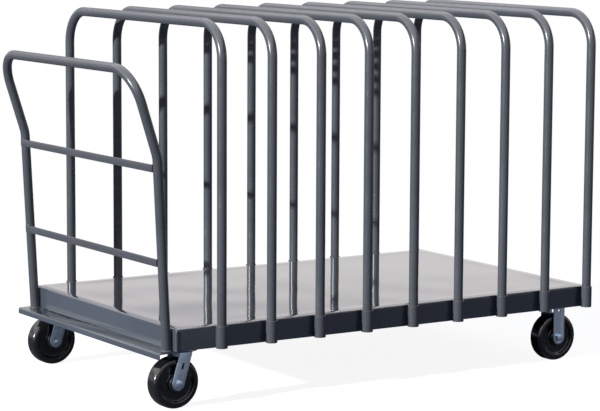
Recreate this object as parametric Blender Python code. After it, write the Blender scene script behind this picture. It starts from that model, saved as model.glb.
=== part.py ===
"""Panel cart: a steel platform truck with nine lift-out hoops that hold sheets on edge.

The script is written in the cart's own frame, in metres:
+X runs along the deck, away from the push handle; -Y is the near side; +Z is up.
Zero is the middle of the cart's footprint, on the floor.
Touching pieces are modelled a hair apart, by TOUCH, as welded or bolted faces meet.
"""

import bmesh
import bpy
from math import acos, atan2, cos, pi, radians, sin, tan
from mathutils import Matrix, Vector

INCH = 0.0254
MM = 0.001

# Gaps and cutting overruns
TOUCH = 0.3 * MM
CUT_OVERRUN = 2.0 * MM
SHARP_ANGLE = radians(40.0)
BEVEL_STEPS = 2

# Deck: one sheet of 12 gauge steel, folded down on all four sides
DECK_LENGTH = 60.0 * INCH
DECK_WIDTH = 36.0 * INCH
DECK_SHEET = 2.7 * MM
SKIRT_DEPTH = 2.6 * INCH
DECK_BEND_RADIUS = 5.0 * MM
DECK_CORNER_RADIUS = 4.0 * MM

# Channels welded under the deck
BOLSTER_WIDTH = 5.0 * INCH
BOLSTER_DEPTH = 2.0 * INCH
BOLSTER_WALL = 4.8 * MM
STIFFENER_WIDTH = 3.0 * INCH
STIFFENER_DEPTH = 1.5 * INCH
STIFFENER_WALL = 3.2 * MM

# Bumper: an angle under the handle end of the skirt
BUMPER_REACH = 2.25 * INCH
BUMPER_TUCK = 0.375 * INCH
BUMPER_WALL = 3.4 * MM
BUMPER_LIP = 0.75 * INCH

# Tube for the hoops and the handle
TUBE_RADIUS = 0.5625 * INCH
TUBE_WALL = 2.1 * MM
TUBE_SIDES = 12

# Hoops
HOOP_COUNT = 9
HOOP_RISE = 35.0 * INCH
HOOP_BEND_RADIUS = 4.0 * INCH
HOOP_BEND_STEPS = 4
FIRST_HOOP = 5.6 * INCH

# Sockets for the hoop legs, welded outside the skirt
SOCKET_PLAY = 0.5 * MM
SOCKET_WALL = 2.7 * MM
SOCKET_FLOOR = 3.2 * MM

# Push handle
HANDLE_SIDE_INSET = 1.25 * INCH
HANDLE_KNEE_OUT = 1.7 * INCH
HANDLE_KNEE_HEIGHT = 19.6 * INCH
HANDLE_TOP_OUT = 4.9 * INCH
HANDLE_TOP_HEIGHT = 29.5 * INCH
HANDLE_KNEE_RADIUS = 4.0 * INCH
HANDLE_KNEE_STEPS = 2
HANDLE_CORNER_RADIUS = 4.0 * INCH
HANDLE_CORNER_STEPS = 4
CROSSBAR_LOWER_HEIGHT = 7.55 * INCH
CROSSBAR_KNEE_DROP = 1.25 * INCH
CROSSBAR_DEPTH = 0.875 * INCH
CROSSBAR_THICKNESS = 4.8 * MM
CROSSBAR_END_INSET = 0.125 * INCH

# Casters: their plates, and where they sit in the pan
SWIVEL_BOLSTER_GAP = 4.0 * MM
RIGID_BOLSTER_GAP = 20.0 * MM
PLATE_SIDE_GAP = 12.5 * MM
SWIVEL_LEAD = 1.75 * INCH
PLATE_WIDTH = 4.0 * INCH
PLATE_THICKNESS = 6.4 * MM
PLATE_CORNER_RADIUS = 0.4 * INCH
BOLT_TO_WALL = 14.25 * MM
BOLT_TO_EDGE = 0.5 * INCH
BOLT_RADIUS = 4.7 * MM
BOLT_HEAD_RADIUS = 8.2 * MM
BOLT_HEAD_DEPTH = 6.0 * MM
BOLT_TIP = 4.0 * MM
BOLT_SIDES = 6
HEX_SIDES = 6

# Wheels
WHEEL_RADIUS = 3.0 * INCH
WHEEL_WIDTH = 2.0 * INCH
WHEEL_SHOULDER = 0.5 * INCH
WHEEL_SHOULDER_STEPS = 2
WHEEL_SIDES = 20
HUB_STAND_OUT = 0.125 * INCH
HUB_WALL = 0.57 * INCH
WEB_RECESS = 0.38 * INCH
WEB_FLARE = 0.15 * INCH
RIM_DEPTH = 0.75 * INCH
WHEEL_HEADROOM = 14.1 * MM
AXLE_RADIUS = 6.35 * MM
BUSH_WALL = 3.0 * MM
ROUND_SIDES = 10

# Forks
FORK_SIDE_PLAY = 0.6 * MM
FORK_WALL = 4.8 * MM
FORK_LEG_WIDTH = 1.6 * INCH
FORK_HEAD_SHIFT = 0.65 * INCH
FORK_YOKE_THICKNESS = 5.0 * MM
FORK_ARC_STEPS = 5
FORK_SLOT_WIDTH = 6.4 * MM
FORK_SLOT_LENGTH = 18.0 * MM
FORK_SLOT_RISE = 2.0 * INCH
RIGID_LEG_WIDTH = 1.7 * INCH
RIGID_HEAD_WIDTH = 2.3 * INCH
RIGID_HEAD_DEPTH = 0.8 * INCH
RIGID_HOLE_RADIUS = 4.0 * MM
RIGID_HOLE_DROP = 0.78 * INCH
AXLE_HEAD_RADIUS = 11.0 * MM
AXLE_HEAD_DEPTH = 7.9 * MM
AXLE_TIP = 3.5 * MM

# Swivel bearing and kingpin
RACE_HEIGHT = 12.0 * MM
RACE_WALL = 21.0 * MM
RACE_LIP_INSET = 4.3 * MM
RACE_LIP_HEIGHT = 5.0 * MM
RACE_PIN_GAP = 7.0 * MM
YOKE_INSET = 3.5 * MM
KINGPIN_RADIUS = 7.9 * MM
KINGPIN_PLAY = 0.6 * MM
KINGPIN_HEAD_RADIUS = 13.0 * MM
KINGPIN_HEAD_DEPTH = 7.0 * MM
KINGPIN_RECESS = 0.5 * MM

# Caster sizes and places that follow from the sizes above
SWIVEL_STACK = FORK_YOKE_THICKNESS + RACE_HEIGHT + PLATE_THICKNESS + 2.0 * TOUCH
CASTER_HEIGHT = 2.0 * WHEEL_RADIUS + WHEEL_HEADROOM + SWIVEL_STACK
BOLT_SPACING_LENGTH = BOLSTER_WIDTH - 2.0 * (BOLSTER_WALL + BOLT_TO_WALL)
BOLT_SPACING_WIDTH = PLATE_WIDTH - 2.0 * BOLT_TO_EDGE
PLATE_LENGTH = BOLT_SPACING_LENGTH + 2.0 * BOLT_TO_EDGE
CASTER_SIDE_INSET = DECK_SHEET + PLATE_SIDE_GAP + PLATE_WIDTH / 2.0
SWIVEL_END_INSET = DECK_SHEET + SWIVEL_BOLSTER_GAP + BOLSTER_WIDTH / 2.0
RIGID_END_INSET = DECK_SHEET + RIGID_BOLSTER_GAP + BOLSTER_WIDTH / 2.0
HUB_LENGTH = WHEEL_WIDTH + 2.0 * HUB_STAND_OUT
HUB_BORE = AXLE_RADIUS + BUSH_WALL + 2.0 * TOUCH
HUB_RADIUS = HUB_BORE + HUB_WALL
RIM_INNER_RADIUS = WHEEL_RADIUS - RIM_DEPTH
RACE_BORE_RADIUS = KINGPIN_RADIUS + RACE_PIN_GAP
RACE_OUTER_RADIUS = RACE_BORE_RADIUS + RACE_WALL
YOKE_RADIUS = RACE_OUTER_RADIUS - YOKE_INSET

# Levels that follow
SKIN = BOLSTER_DEPTH + 2.0 * TOUCH + DECK_SHEET
DECK_TOP = CASTER_HEIGHT + SKIN
DECK_UNDERSIDE = DECK_TOP - DECK_SHEET
SKIRT_BOTTOM = DECK_TOP - SKIRT_DEPTH
PLATE_BOTTOM = CASTER_HEIGHT - PLATE_THICKNESS
YOKE_TOP = PLATE_BOTTOM - RACE_HEIGHT - 2.0 * TOUCH
HALF_LENGTH = DECK_LENGTH / 2.0
HALF_WIDTH = DECK_WIDTH / 2.0

# Zero along X is the middle between the handle's top bar and the far end of the deck
HANDLE_REACH = HANDLE_TOP_OUT + TUBE_RADIUS
HANDLE_END = HANDLE_REACH / 2.0 - HALF_LENGTH
FAR_END = HANDLE_END + DECK_LENGTH

# A round piece is a prism of flat sides, and these are the shares of its radius to its flats
SIDE_FLAT_SHARE = cos(pi / TUBE_SIDES)
ROUND_FLAT_SHARE = cos(pi / ROUND_SIDES)

SOCKET_RADIUS = TUBE_RADIUS + SOCKET_PLAY + SOCKET_WALL
SOCKET_LINE = HALF_WIDTH + TOUCH + SOCKET_RADIUS * SIDE_FLAT_SHARE
LAST_HOOP = DECK_LENGTH - SOCKET_RADIUS
HOOP_PITCH = (LAST_HOOP - FIRST_HOOP) / (HOOP_COUNT - 1)
LEG_END = SKIRT_BOTTOM + SOCKET_FLOOR + TOUCH
HOOP_CENTRE_TOP = DECK_TOP + HOOP_RISE - TUBE_RADIUS
HANDLE_WIDTH = DECK_WIDTH - 2.0 * HANDLE_SIDE_INSET

ENAMEL = ("enamel", (0.115, 0.14, 0.165), 0.32, 0.0)
ZINC = ("zinc", (0.62, 0.66, 0.72), 0.35, 1.0)
BLACK = ("black", (0.018, 0.018, 0.02), 0.3, 0.0)
BRONZE = ("bronze", (0.42, 0.3, 0.16), 0.4, 1.0)


def clear_scene():
    """Remove whatever the file opened with."""
    for thing in list(bpy.data.objects):
        bpy.data.objects.remove(thing, do_unlink=True)


def finish_of(name, finish):
    """Give a sub-part its own Principled material."""
    label, colour, roughness, metallic = finish
    material = bpy.data.materials.new(name + "_" + label)
    material.use_nodes = True
    shader = material.node_tree.nodes["Principled BSDF"]
    shader.inputs["Base Color"].default_value = (*colour, 1.0)
    shader.inputs["Roughness"].default_value = roughness
    shader.inputs["Metallic"].default_value = metallic
    return material


def place(bm, name, finish, location=(0, 0, 0), parent=None, smooth=True):
    """Turn a bmesh into a named object with outward faces and its own material."""
    bmesh.ops.recalc_face_normals(bm, faces=bm.faces)
    mesh = bpy.data.meshes.new(name)
    bm.to_mesh(mesh)
    bm.free()
    if smooth:
        mesh.shade_smooth()
        mesh.set_sharp_from_angle(angle=SHARP_ANGLE)
    mesh.materials.append(finish_of(name, finish))
    thing = bpy.data.objects.new(name, mesh)
    bpy.context.scene.collection.objects.link(thing)
    thing.location = location
    thing.parent = parent
    return thing


def pivot(name, location, parent=None):
    """An empty that marks a joint's axis and carries the pieces that turn on it."""
    empty = bpy.data.objects.new(name, None)
    bpy.context.scene.collection.objects.link(empty)
    empty.location = location
    empty.parent = parent
    return empty


def new_verts(result):
    """The vertices that a bmesh operator has just made."""
    return [item for item in result["geom"] if isinstance(item, bmesh.types.BMVert)]


def extrude_outline(points, depth):
    """A prism: a flat outline of (x, z) points, pulled along Y and centred on zero."""
    bm = bmesh.new()
    corners = [bm.verts.new((x, -depth / 2.0, z)) for x, z in points]
    face = bm.faces.new(corners)
    result = bmesh.ops.extrude_face_region(bm, geom=[face])
    bmesh.ops.translate(bm, verts=new_verts(result), vec=(0, depth, 0))
    return bm


def turn_to_y(bm):
    """Lay a piece whose axis is Z along Y instead."""
    bmesh.ops.rotate(bm, verts=bm.verts, cent=(0, 0, 0), matrix=Matrix.Rotation(pi / 2.0, 3, "X"))


def half_side_turn(bm, sides):
    """Turn a prism by half of one side, so that a flat takes the place of a corner."""
    bmesh.ops.rotate(bm, verts=bm.verts, cent=(0, 0, 0), matrix=Matrix.Rotation(pi / sides, 3, "Z"))


def turned(profile, sides, axis="Z"):
    """Revolve a closed profile of (radius, height) points into a ring or a hub.

    Each radius is the one to the flats, so a wheel stands level on a flat at its real height.
    """
    bm = bmesh.new()
    flat_share = cos(pi / sides)
    ring = [bm.verts.new((radius / flat_share, 0, height)) for radius, height in profile]
    edges = [bm.edges.new((ring[i], ring[(i + 1) % len(ring)])) for i in range(len(ring))]
    bmesh.ops.spin(
        bm, geom=ring + edges, cent=(0, 0, 0), axis=(0, 0, 1), angle=2.0 * pi, steps=sides, use_merge=True
    )
    half_side_turn(bm, sides)
    if axis == "Y":
        turn_to_y(bm)
    return bm


def rod(radius, length, sides, axis="Z"):
    """A solid round or hexagonal bar, centred on zero, with its corners at the radius."""
    bm = bmesh.new()
    bmesh.ops.create_cone(
        bm, cap_ends=True, segments=sides, radius1=radius, radius2=radius, depth=length
    )
    if axis == "Y":
        turn_to_y(bm)
    return bm


def box(size_x, size_y, size_z):
    """A plain block, centred on zero."""
    bm = bmesh.new()
    bmesh.ops.create_cube(bm, size=1.0)
    bmesh.ops.scale(bm, verts=bm.verts, vec=(size_x, size_y, size_z))
    return bm


def round_off(bm, edges, radius):
    """Round edges to a radius."""
    bmesh.ops.bevel(
        bm, geom=edges, offset=radius, segments=BEVEL_STEPS, profile=0.5, affect="EDGES", material=-1
    )


def drop_inner(bm, section):
    """Remove the faces that an extrusion or a spin has left behind inside a tube."""
    bmesh.ops.delete(bm, geom=section, context="FACES_ONLY")


def moved(bm, x=0.0, y=0.0, z=0.0):
    """Shift a bmesh and hand it back."""
    bmesh.ops.translate(bm, verts=bm.verts, vec=(x, y, z))
    return bm


def combine(base, others, operation):
    """Join solids to a base object, or cut them out of it, and apply the result."""
    for bm in others:
        tool_mesh = bpy.data.meshes.new("tool")
        bmesh.ops.recalc_face_normals(bm, faces=bm.faces)
        bm.to_mesh(tool_mesh)
        bm.free()
        tool = bpy.data.objects.new("tool", tool_mesh)
        bpy.context.scene.collection.objects.link(tool)
        tool.parent = base
        tool.hide_render = True
        tool.display_type = "WIRE"
        step = base.modifiers.new(operation.lower(), "BOOLEAN")
        step.operation = operation
        step.object = tool
        bpy.context.view_layer.update()
        shaped = bpy.context.evaluated_depsgraph_get()
        solid = bpy.data.meshes.new_from_object(base.evaluated_get(shaped))
        base.modifiers.clear()
        base.data = solid
        bpy.data.objects.remove(tool, do_unlink=True)
    base.data.shade_smooth()
    base.data.set_sharp_from_angle(angle=SHARP_ANGLE)
    return base


def arc_points(centre_x, centre_z, radius, start, sweep, steps):
    """Points on a circular arc in a flat outline."""
    angles = [start + sweep * i / steps for i in range(steps + 1)]
    return [(centre_x + radius * cos(a), centre_z + radius * sin(a)) for a in angles]


def bent_tube(corners, radii, steps):
    """Bend a hollow tube as a pipe bender does: straight run, turn, straight run.

    The cross-section is one flat ring. It is extruded along each run and spun round each turn,
    so the bore follows the outside all the way and both ends stay open.
    """
    bm = bmesh.new()
    corners = [Vector(corner) for corner in corners]
    heading = (corners[1] - corners[0]).normalized()
    for radius in (TUBE_RADIUS, TUBE_RADIUS - TUBE_WALL):
        bmesh.ops.create_circle(bm, cap_ends=False, segments=TUBE_SIDES, radius=radius)
    half_side_turn(bm, TUBE_SIDES)
    bmesh.ops.bridge_loops(bm, edges=bm.edges)
    aim = Vector((0, 0, 1)).rotation_difference(heading).to_matrix()
    bmesh.ops.rotate(bm, verts=bm.verts, cent=(0, 0, 0), matrix=aim)
    bmesh.ops.translate(bm, verts=bm.verts, vec=corners[0])
    section = list(bm.faces)
    here = corners[0]
    for i in range(1, len(corners)):
        heading = (corners[i] - corners[i - 1]).normalized()
        last = i == len(corners) - 1
        trim = 0.0
        if not last:
            onward = (corners[i + 1] - corners[i]).normalized()
            turn = acos(heading.dot(onward))
            trim = radii[i - 1] * tan(turn / 2.0)
        run_end = corners[i] - heading * trim
        result = bmesh.ops.extrude_face_region(bm, geom=section)
        bmesh.ops.translate(bm, verts=new_verts(result), vec=run_end - here)
        if i > 1:
            drop_inner(bm, section)
        section = [item for item in result["geom"] if isinstance(item, bmesh.types.BMFace)]
        here = run_end
        if last:
            break
        inward = (onward - heading * heading.dot(onward)).normalized()
        result = bmesh.ops.spin(
            bm,
            geom=section,
            cent=here + inward * radii[i - 1],
            axis=heading.cross(onward).normalized(),
            angle=turn,
            steps=steps[i - 1],
            use_duplicate=False,
        )
        drop_inner(bm, section)
        section = [item for item in result["geom_last"] if isinstance(item, bmesh.types.BMFace)]
        here = corners[i] + onward * trim
    return bm


def make_deck_pan():
    """The deck: a folded sheet, open underneath, with rounded folds and welded corners."""
    bm = box(DECK_LENGTH, DECK_WIDTH, SKIRT_DEPTH)
    top = max(vert.co.z for vert in bm.verts)
    corners = [edge for edge in bm.edges if edge.verts[0].co.z != edge.verts[1].co.z]
    round_off(bm, corners, DECK_CORNER_RADIUS)
    folds = [edge for edge in bm.edges if all(vert.co.z == top for vert in edge.verts)]
    round_off(bm, folds, DECK_BEND_RADIUS)
    bottom = min(vert.co.z for vert in bm.verts)
    open_side = [face for face in bm.faces if all(vert.co.z == bottom for vert in face.verts)]
    bmesh.ops.delete(bm, geom=open_side, context="FACES_ONLY")
    middle = ((HANDLE_END + FAR_END) / 2.0, 0, DECK_TOP - SKIRT_DEPTH / 2.0)
    pan = place(bm, "deck_pan", ENAMEL, middle, smooth=False)
    wall = pan.modifiers.new("sheet", "SOLIDIFY")
    wall.thickness = DECK_SHEET
    wall.offset = -1.0
    wall.use_even_offset = True
    wall.use_rim = True


def channel_outline(width, depth, wall):
    """A channel seen from its end, open side up, as (x, z) points from its middle top."""
    half = width / 2.0
    return [
        (-half, 0),
        (-half, -depth),
        (half, -depth),
        (half, 0),
        (half - wall, 0),
        (half - wall, wall - depth),
        (wall - half, wall - depth),
        (wall - half, 0),
    ]


def channel_length():
    """Channels run from skirt to skirt, and stop short of the rounded folds."""
    return DECK_WIDTH - 2.0 * (DECK_BEND_RADIUS + TOUCH)


def bolt_places():
    """The four bolt centres of a caster plate, from its middle."""
    for side_x in (-0.5, 0.5):
        for side_y in (-0.5, 0.5):
            yield side_x * BOLT_SPACING_LENGTH, side_y * BOLT_SPACING_WIDTH


def make_bolster(name, middle_x):
    """A channel across the deck that carries two casters, with holes for their bolts."""
    outline = channel_outline(BOLSTER_WIDTH, BOLSTER_DEPTH, BOLSTER_WALL)
    top = DECK_UNDERSIDE - TOUCH
    channel = extrude_outline(outline, channel_length())
    bolster = place(channel, name, ENAMEL, (middle_x, 0, top), smooth=False)
    holes = []
    for side in (-1, 1):
        for x, y in bolt_places():
            hole = rod(BOLT_RADIUS + TOUCH, BOLSTER_WALL + 2.0 * CUT_OVERRUN, BOLT_SIDES)
            holes.append(moved(hole, x, caster_line(side) + y, BOLSTER_WALL / 2.0 - BOLSTER_DEPTH))
    combine(bolster, holes, "DIFFERENCE")


def make_stiffener():
    """A lighter channel across the middle of the deck."""
    outline = channel_outline(STIFFENER_WIDTH, STIFFENER_DEPTH, STIFFENER_WALL)
    middle = ((HANDLE_END + FAR_END) / 2.0, 0, DECK_UNDERSIDE - TOUCH)
    place(extrude_outline(outline, channel_length()), "deck_stiffener", ENAMEL, middle, smooth=False)


def make_bumper():
    """An angle that lies under the end skirt, stands out past it and turns down."""
    outline = [
        (BUMPER_TUCK, 0),
        (-BUMPER_REACH, 0),
        (-BUMPER_REACH, -BUMPER_LIP),
        (BUMPER_WALL - BUMPER_REACH, -BUMPER_LIP),
        (BUMPER_WALL - BUMPER_REACH, -BUMPER_WALL),
        (BUMPER_TUCK, -BUMPER_WALL),
    ]
    top = SKIRT_BOTTOM - TOUCH
    place(extrude_outline(outline, DECK_WIDTH), "bumper", ENAMEL, (HANDLE_END, 0, top), smooth=False)


def handle_lean():
    """The foot of the handle from the skirt and the deck, and the lean of its lower legs."""
    foot_out = TUBE_RADIUS * SIDE_FLAT_SHARE + 2.0 * TOUCH
    foot_height = -SKIRT_DEPTH
    lean = atan2(HANDLE_KNEE_OUT - foot_out, HANDLE_KNEE_HEIGHT - foot_height)
    return foot_out, foot_height, lean


def cut_feet(bm, height):
    """Cut both ends of a tube level, so that they stand flat, and close the cut rings."""
    everything = list(bm.verts) + list(bm.edges) + list(bm.faces)
    result = bmesh.ops.bisect_plane(
        bm, geom=everything, plane_co=(0, 0, height), plane_no=(0, 0, -1), clear_outer=True
    )
    cut = [item for item in result["geom_cut"] if isinstance(item, bmesh.types.BMEdge)]
    for side in (-1, 1):
        foot = [edge for edge in cut if edge.verts[0].co.y * side > 0]
        bmesh.ops.bridge_loops(bm, edges=foot)


def make_handle():
    """The push handle: one tube from foot to foot, leaning out, then bent further out at the knees."""
    foot_out, foot_height, lean = handle_lean()
    spare = TUBE_RADIUS
    spare_out = foot_out - spare * tan(lean)
    half = HANDLE_WIDTH / 2.0
    corners = [
        (-spare_out, -half, foot_height - spare),
        (-HANDLE_KNEE_OUT, -half, HANDLE_KNEE_HEIGHT),
        (-HANDLE_TOP_OUT, -half, HANDLE_TOP_HEIGHT),
        (-HANDLE_TOP_OUT, half, HANDLE_TOP_HEIGHT),
        (-HANDLE_KNEE_OUT, half, HANDLE_KNEE_HEIGHT),
        (-spare_out, half, foot_height - spare),
    ]
    radii = [HANDLE_KNEE_RADIUS, HANDLE_CORNER_RADIUS, HANDLE_CORNER_RADIUS, HANDLE_KNEE_RADIUS]
    steps = [HANDLE_KNEE_STEPS, HANDLE_CORNER_STEPS, HANDLE_CORNER_STEPS, HANDLE_KNEE_STEPS]
    tube = bent_tube(corners, radii, steps)
    cut_feet(tube, foot_height)
    place(tube, "handle_tube", ENAMEL, (HANDLE_END, 0, DECK_TOP))


def make_crossbars():
    """Two flat bars welded across the outer side of the handle's legs."""
    foot_out, foot_height, lean = handle_lean()
    heights = {
        "handle_crossbar_lower": CROSSBAR_LOWER_HEIGHT,
        "handle_crossbar_upper": HANDLE_KNEE_HEIGHT - CROSSBAR_KNEE_DROP,
    }
    for name, height in heights.items():
        leg_out = foot_out + (height - foot_height) * tan(lean)
        stand_off = (TUBE_RADIUS * SIDE_FLAT_SHARE + TOUCH + CROSSBAR_THICKNESS / 2.0) / cos(lean)
        bm = box(CROSSBAR_THICKNESS, HANDLE_WIDTH - 2.0 * CROSSBAR_END_INSET, CROSSBAR_DEPTH)
        bmesh.ops.rotate(bm, verts=bm.verts, cent=(0, 0, 0), matrix=Matrix.Rotation(-lean, 3, "Y"))
        at = (HANDLE_END - leg_out - stand_off, 0, DECK_TOP + height)
        place(bm, name, ENAMEL, at, smooth=False)


def make_socket(name, x, y):
    """A short tube with a floor that holds one hoop leg."""
    bm = rod(SOCKET_RADIUS, SKIRT_DEPTH, TUBE_SIDES)
    half_side_turn(bm, TUBE_SIDES)
    top = max(bm.faces, key=lambda face: face.calc_center_median().z)
    bmesh.ops.inset_region(bm, faces=[top], thickness=SOCKET_WALL * SIDE_FLAT_SHARE, use_even_offset=True)
    result = bmesh.ops.extrude_face_region(bm, geom=[top])
    bmesh.ops.translate(bm, verts=new_verts(result), vec=(0, 0, SOCKET_FLOOR - SKIRT_DEPTH))
    drop_inner(bm, [top])
    place(bm, name, ENAMEL, (x, y, DECK_TOP - SKIRT_DEPTH / 2.0))


def make_hoops():
    """Nine hoops, each standing in a pair of sockets, evenly spaced to the far end."""
    rise = HOOP_CENTRE_TOP - LEG_END
    corners = [
        (0, -SOCKET_LINE, 0),
        (0, -SOCKET_LINE, rise),
        (0, SOCKET_LINE, rise),
        (0, SOCKET_LINE, 0),
    ]
    for i in range(HOOP_COUNT):
        number = str(i + 1)
        x = HANDLE_END + FIRST_HOOP + i * HOOP_PITCH
        make_socket("socket_near_" + number, x, -SOCKET_LINE)
        make_socket("socket_far_" + number, x, SOCKET_LINE)
        hoop = bent_tube(corners, [HOOP_BEND_RADIUS] * 2, [HOOP_BEND_STEPS] * 2)
        place(hoop, "hoop_" + number, ENAMEL, (x, 0, LEG_END))


def caster_plate(name, middle, parent=None):
    """The top plate of a caster, with its four bolts through the bolster and their nuts."""
    bm = box(PLATE_LENGTH, PLATE_WIDTH, PLATE_THICKNESS)
    corners = [edge for edge in bm.edges if edge.verts[0].co.z != edge.verts[1].co.z]
    round_off(bm, corners, PLATE_CORNER_RADIUS)
    plate = place(bm, name, ZINC, middle, parent)
    half = PLATE_THICKNESS / 2.0
    nut_low = half + BOLSTER_WALL + 2.0 * TOUCH
    tip_top = nut_low + BOLT_HEAD_DEPTH + BOLT_TIP
    pieces = []
    for x, y in bolt_places():
        head = rod(BOLT_HEAD_RADIUS, BOLT_HEAD_DEPTH + half, HEX_SIDES)
        pieces.append(moved(head, x, y, -half - BOLT_HEAD_DEPTH / 2.0 + half / 2.0))
        bolt = rod(BOLT_RADIUS, tip_top, BOLT_SIDES)
        pieces.append(moved(bolt, x, y, tip_top / 2.0))
        nut = rod(BOLT_HEAD_RADIUS, BOLT_HEAD_DEPTH, HEX_SIDES)
        pieces.append(moved(nut, x, y, nut_low + BOLT_HEAD_DEPTH / 2.0))
    return combine(plate, pieces, "UNION")


def fork_gap():
    """The clear width between the legs of a fork."""
    return HUB_LENGTH + 2.0 * FORK_SIDE_PLAY


def make_wheel(name, parent):
    """A solid wheel turned from one profile: hub, thinner web, rim and rounded tread."""
    half_hub = HUB_LENGTH / 2.0
    half_rim = WHEEL_WIDTH / 2.0
    web = half_rim - WEB_RECESS
    shoulder_r = WHEEL_RADIUS - WHEEL_SHOULDER
    shoulder_y = half_rim - WHEEL_SHOULDER
    tread = arc_points(shoulder_r, shoulder_y, WHEEL_SHOULDER, pi / 2.0, -pi / 2.0, WHEEL_SHOULDER_STEPS)
    face = [
        (HUB_BORE, half_hub),
        (HUB_RADIUS, half_hub),
        (HUB_RADIUS + WEB_FLARE, web),
        (RIM_INNER_RADIUS - WEB_FLARE, web),
        (RIM_INNER_RADIUS, half_rim),
    ]
    upper = face + tread
    lower = [(radius, -height) for radius, height in reversed(upper)]
    place(turned(upper + lower, WHEEL_SIDES, "Y"), name + "_wheel", BLACK, parent=parent)
    inner = AXLE_RADIUS + TOUCH
    outer = (inner + BUSH_WALL) * ROUND_FLAT_SHARE
    sleeve = [(inner, -half_hub), (outer, -half_hub), (outer, half_hub), (inner, half_hub)]
    place(turned(sleeve, ROUND_SIDES, "Y"), name + "_bush", BRONZE, parent=parent)


def make_axle(name, side, parent):
    """The axle bolt: a hex head on the cart's outer side, the shank, and a nut on its tip."""
    outside = fork_gap() / 2.0 + FORK_WALL + TOUCH
    tip = outside + AXLE_HEAD_DEPTH + AXLE_TIP
    shank = moved(rod(AXLE_RADIUS, outside + tip, ROUND_SIDES, "Y"), y=side * (outside - tip) / 2.0)
    axle = place(shank, name + "_axle", ZINC, parent=parent)
    across = outside + AXLE_HEAD_DEPTH / 2.0
    ends = [rod(AXLE_HEAD_RADIUS, AXLE_HEAD_DEPTH, HEX_SIDES, "Y") for end in (-1, 1)]
    combine(axle, [moved(ends[0], y=-across), moved(ends[1], y=across)], "UNION")


def leg_pair(outline):
    """Two fork legs with one side outline, either side of the wheel."""
    across = fork_gap() / 2.0 + FORK_WALL / 2.0
    return [moved(extrude_outline(outline, FORK_WALL), y=side * across) for side in (-1, 1)]


def raked_leg_outline():
    """The side of a swivel fork's leg: a parallel strip raked back to a round end at the axle."""
    half = FORK_LEG_WIDTH / 2.0
    rise = YOKE_TOP - WHEEL_RADIUS
    head_x = SWIVEL_LEAD - FORK_HEAD_SHIFT
    rake = atan2(head_x, rise)
    arc = arc_points(0, 0, half, pi - rake, pi, FORK_ARC_STEPS)
    top_left = head_x - half / cos(rake)
    top_right = head_x + half / cos(rake)
    return arc + [(top_right, rise), (top_left, rise)]


def straight_leg_outline():
    """The side of a rigid fork's leg: round at the axle, flared where it meets its plate."""
    half = RIGID_LEG_WIDTH / 2.0
    rise = PLATE_BOTTOM - WHEEL_RADIUS
    arc = arc_points(0, 0, half, pi, pi, FORK_ARC_STEPS)
    flare = RIGID_HEAD_WIDTH / 2.0
    shoulder = rise - RIGID_HEAD_DEPTH
    return arc + [(half, shoulder), (flare, rise), (-flare, rise), (-half, shoulder)]


def caster_line(side):
    """How far to one side of the cart's middle its casters stand."""
    return side * (HALF_WIDTH - CASTER_SIDE_INSET)


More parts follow.
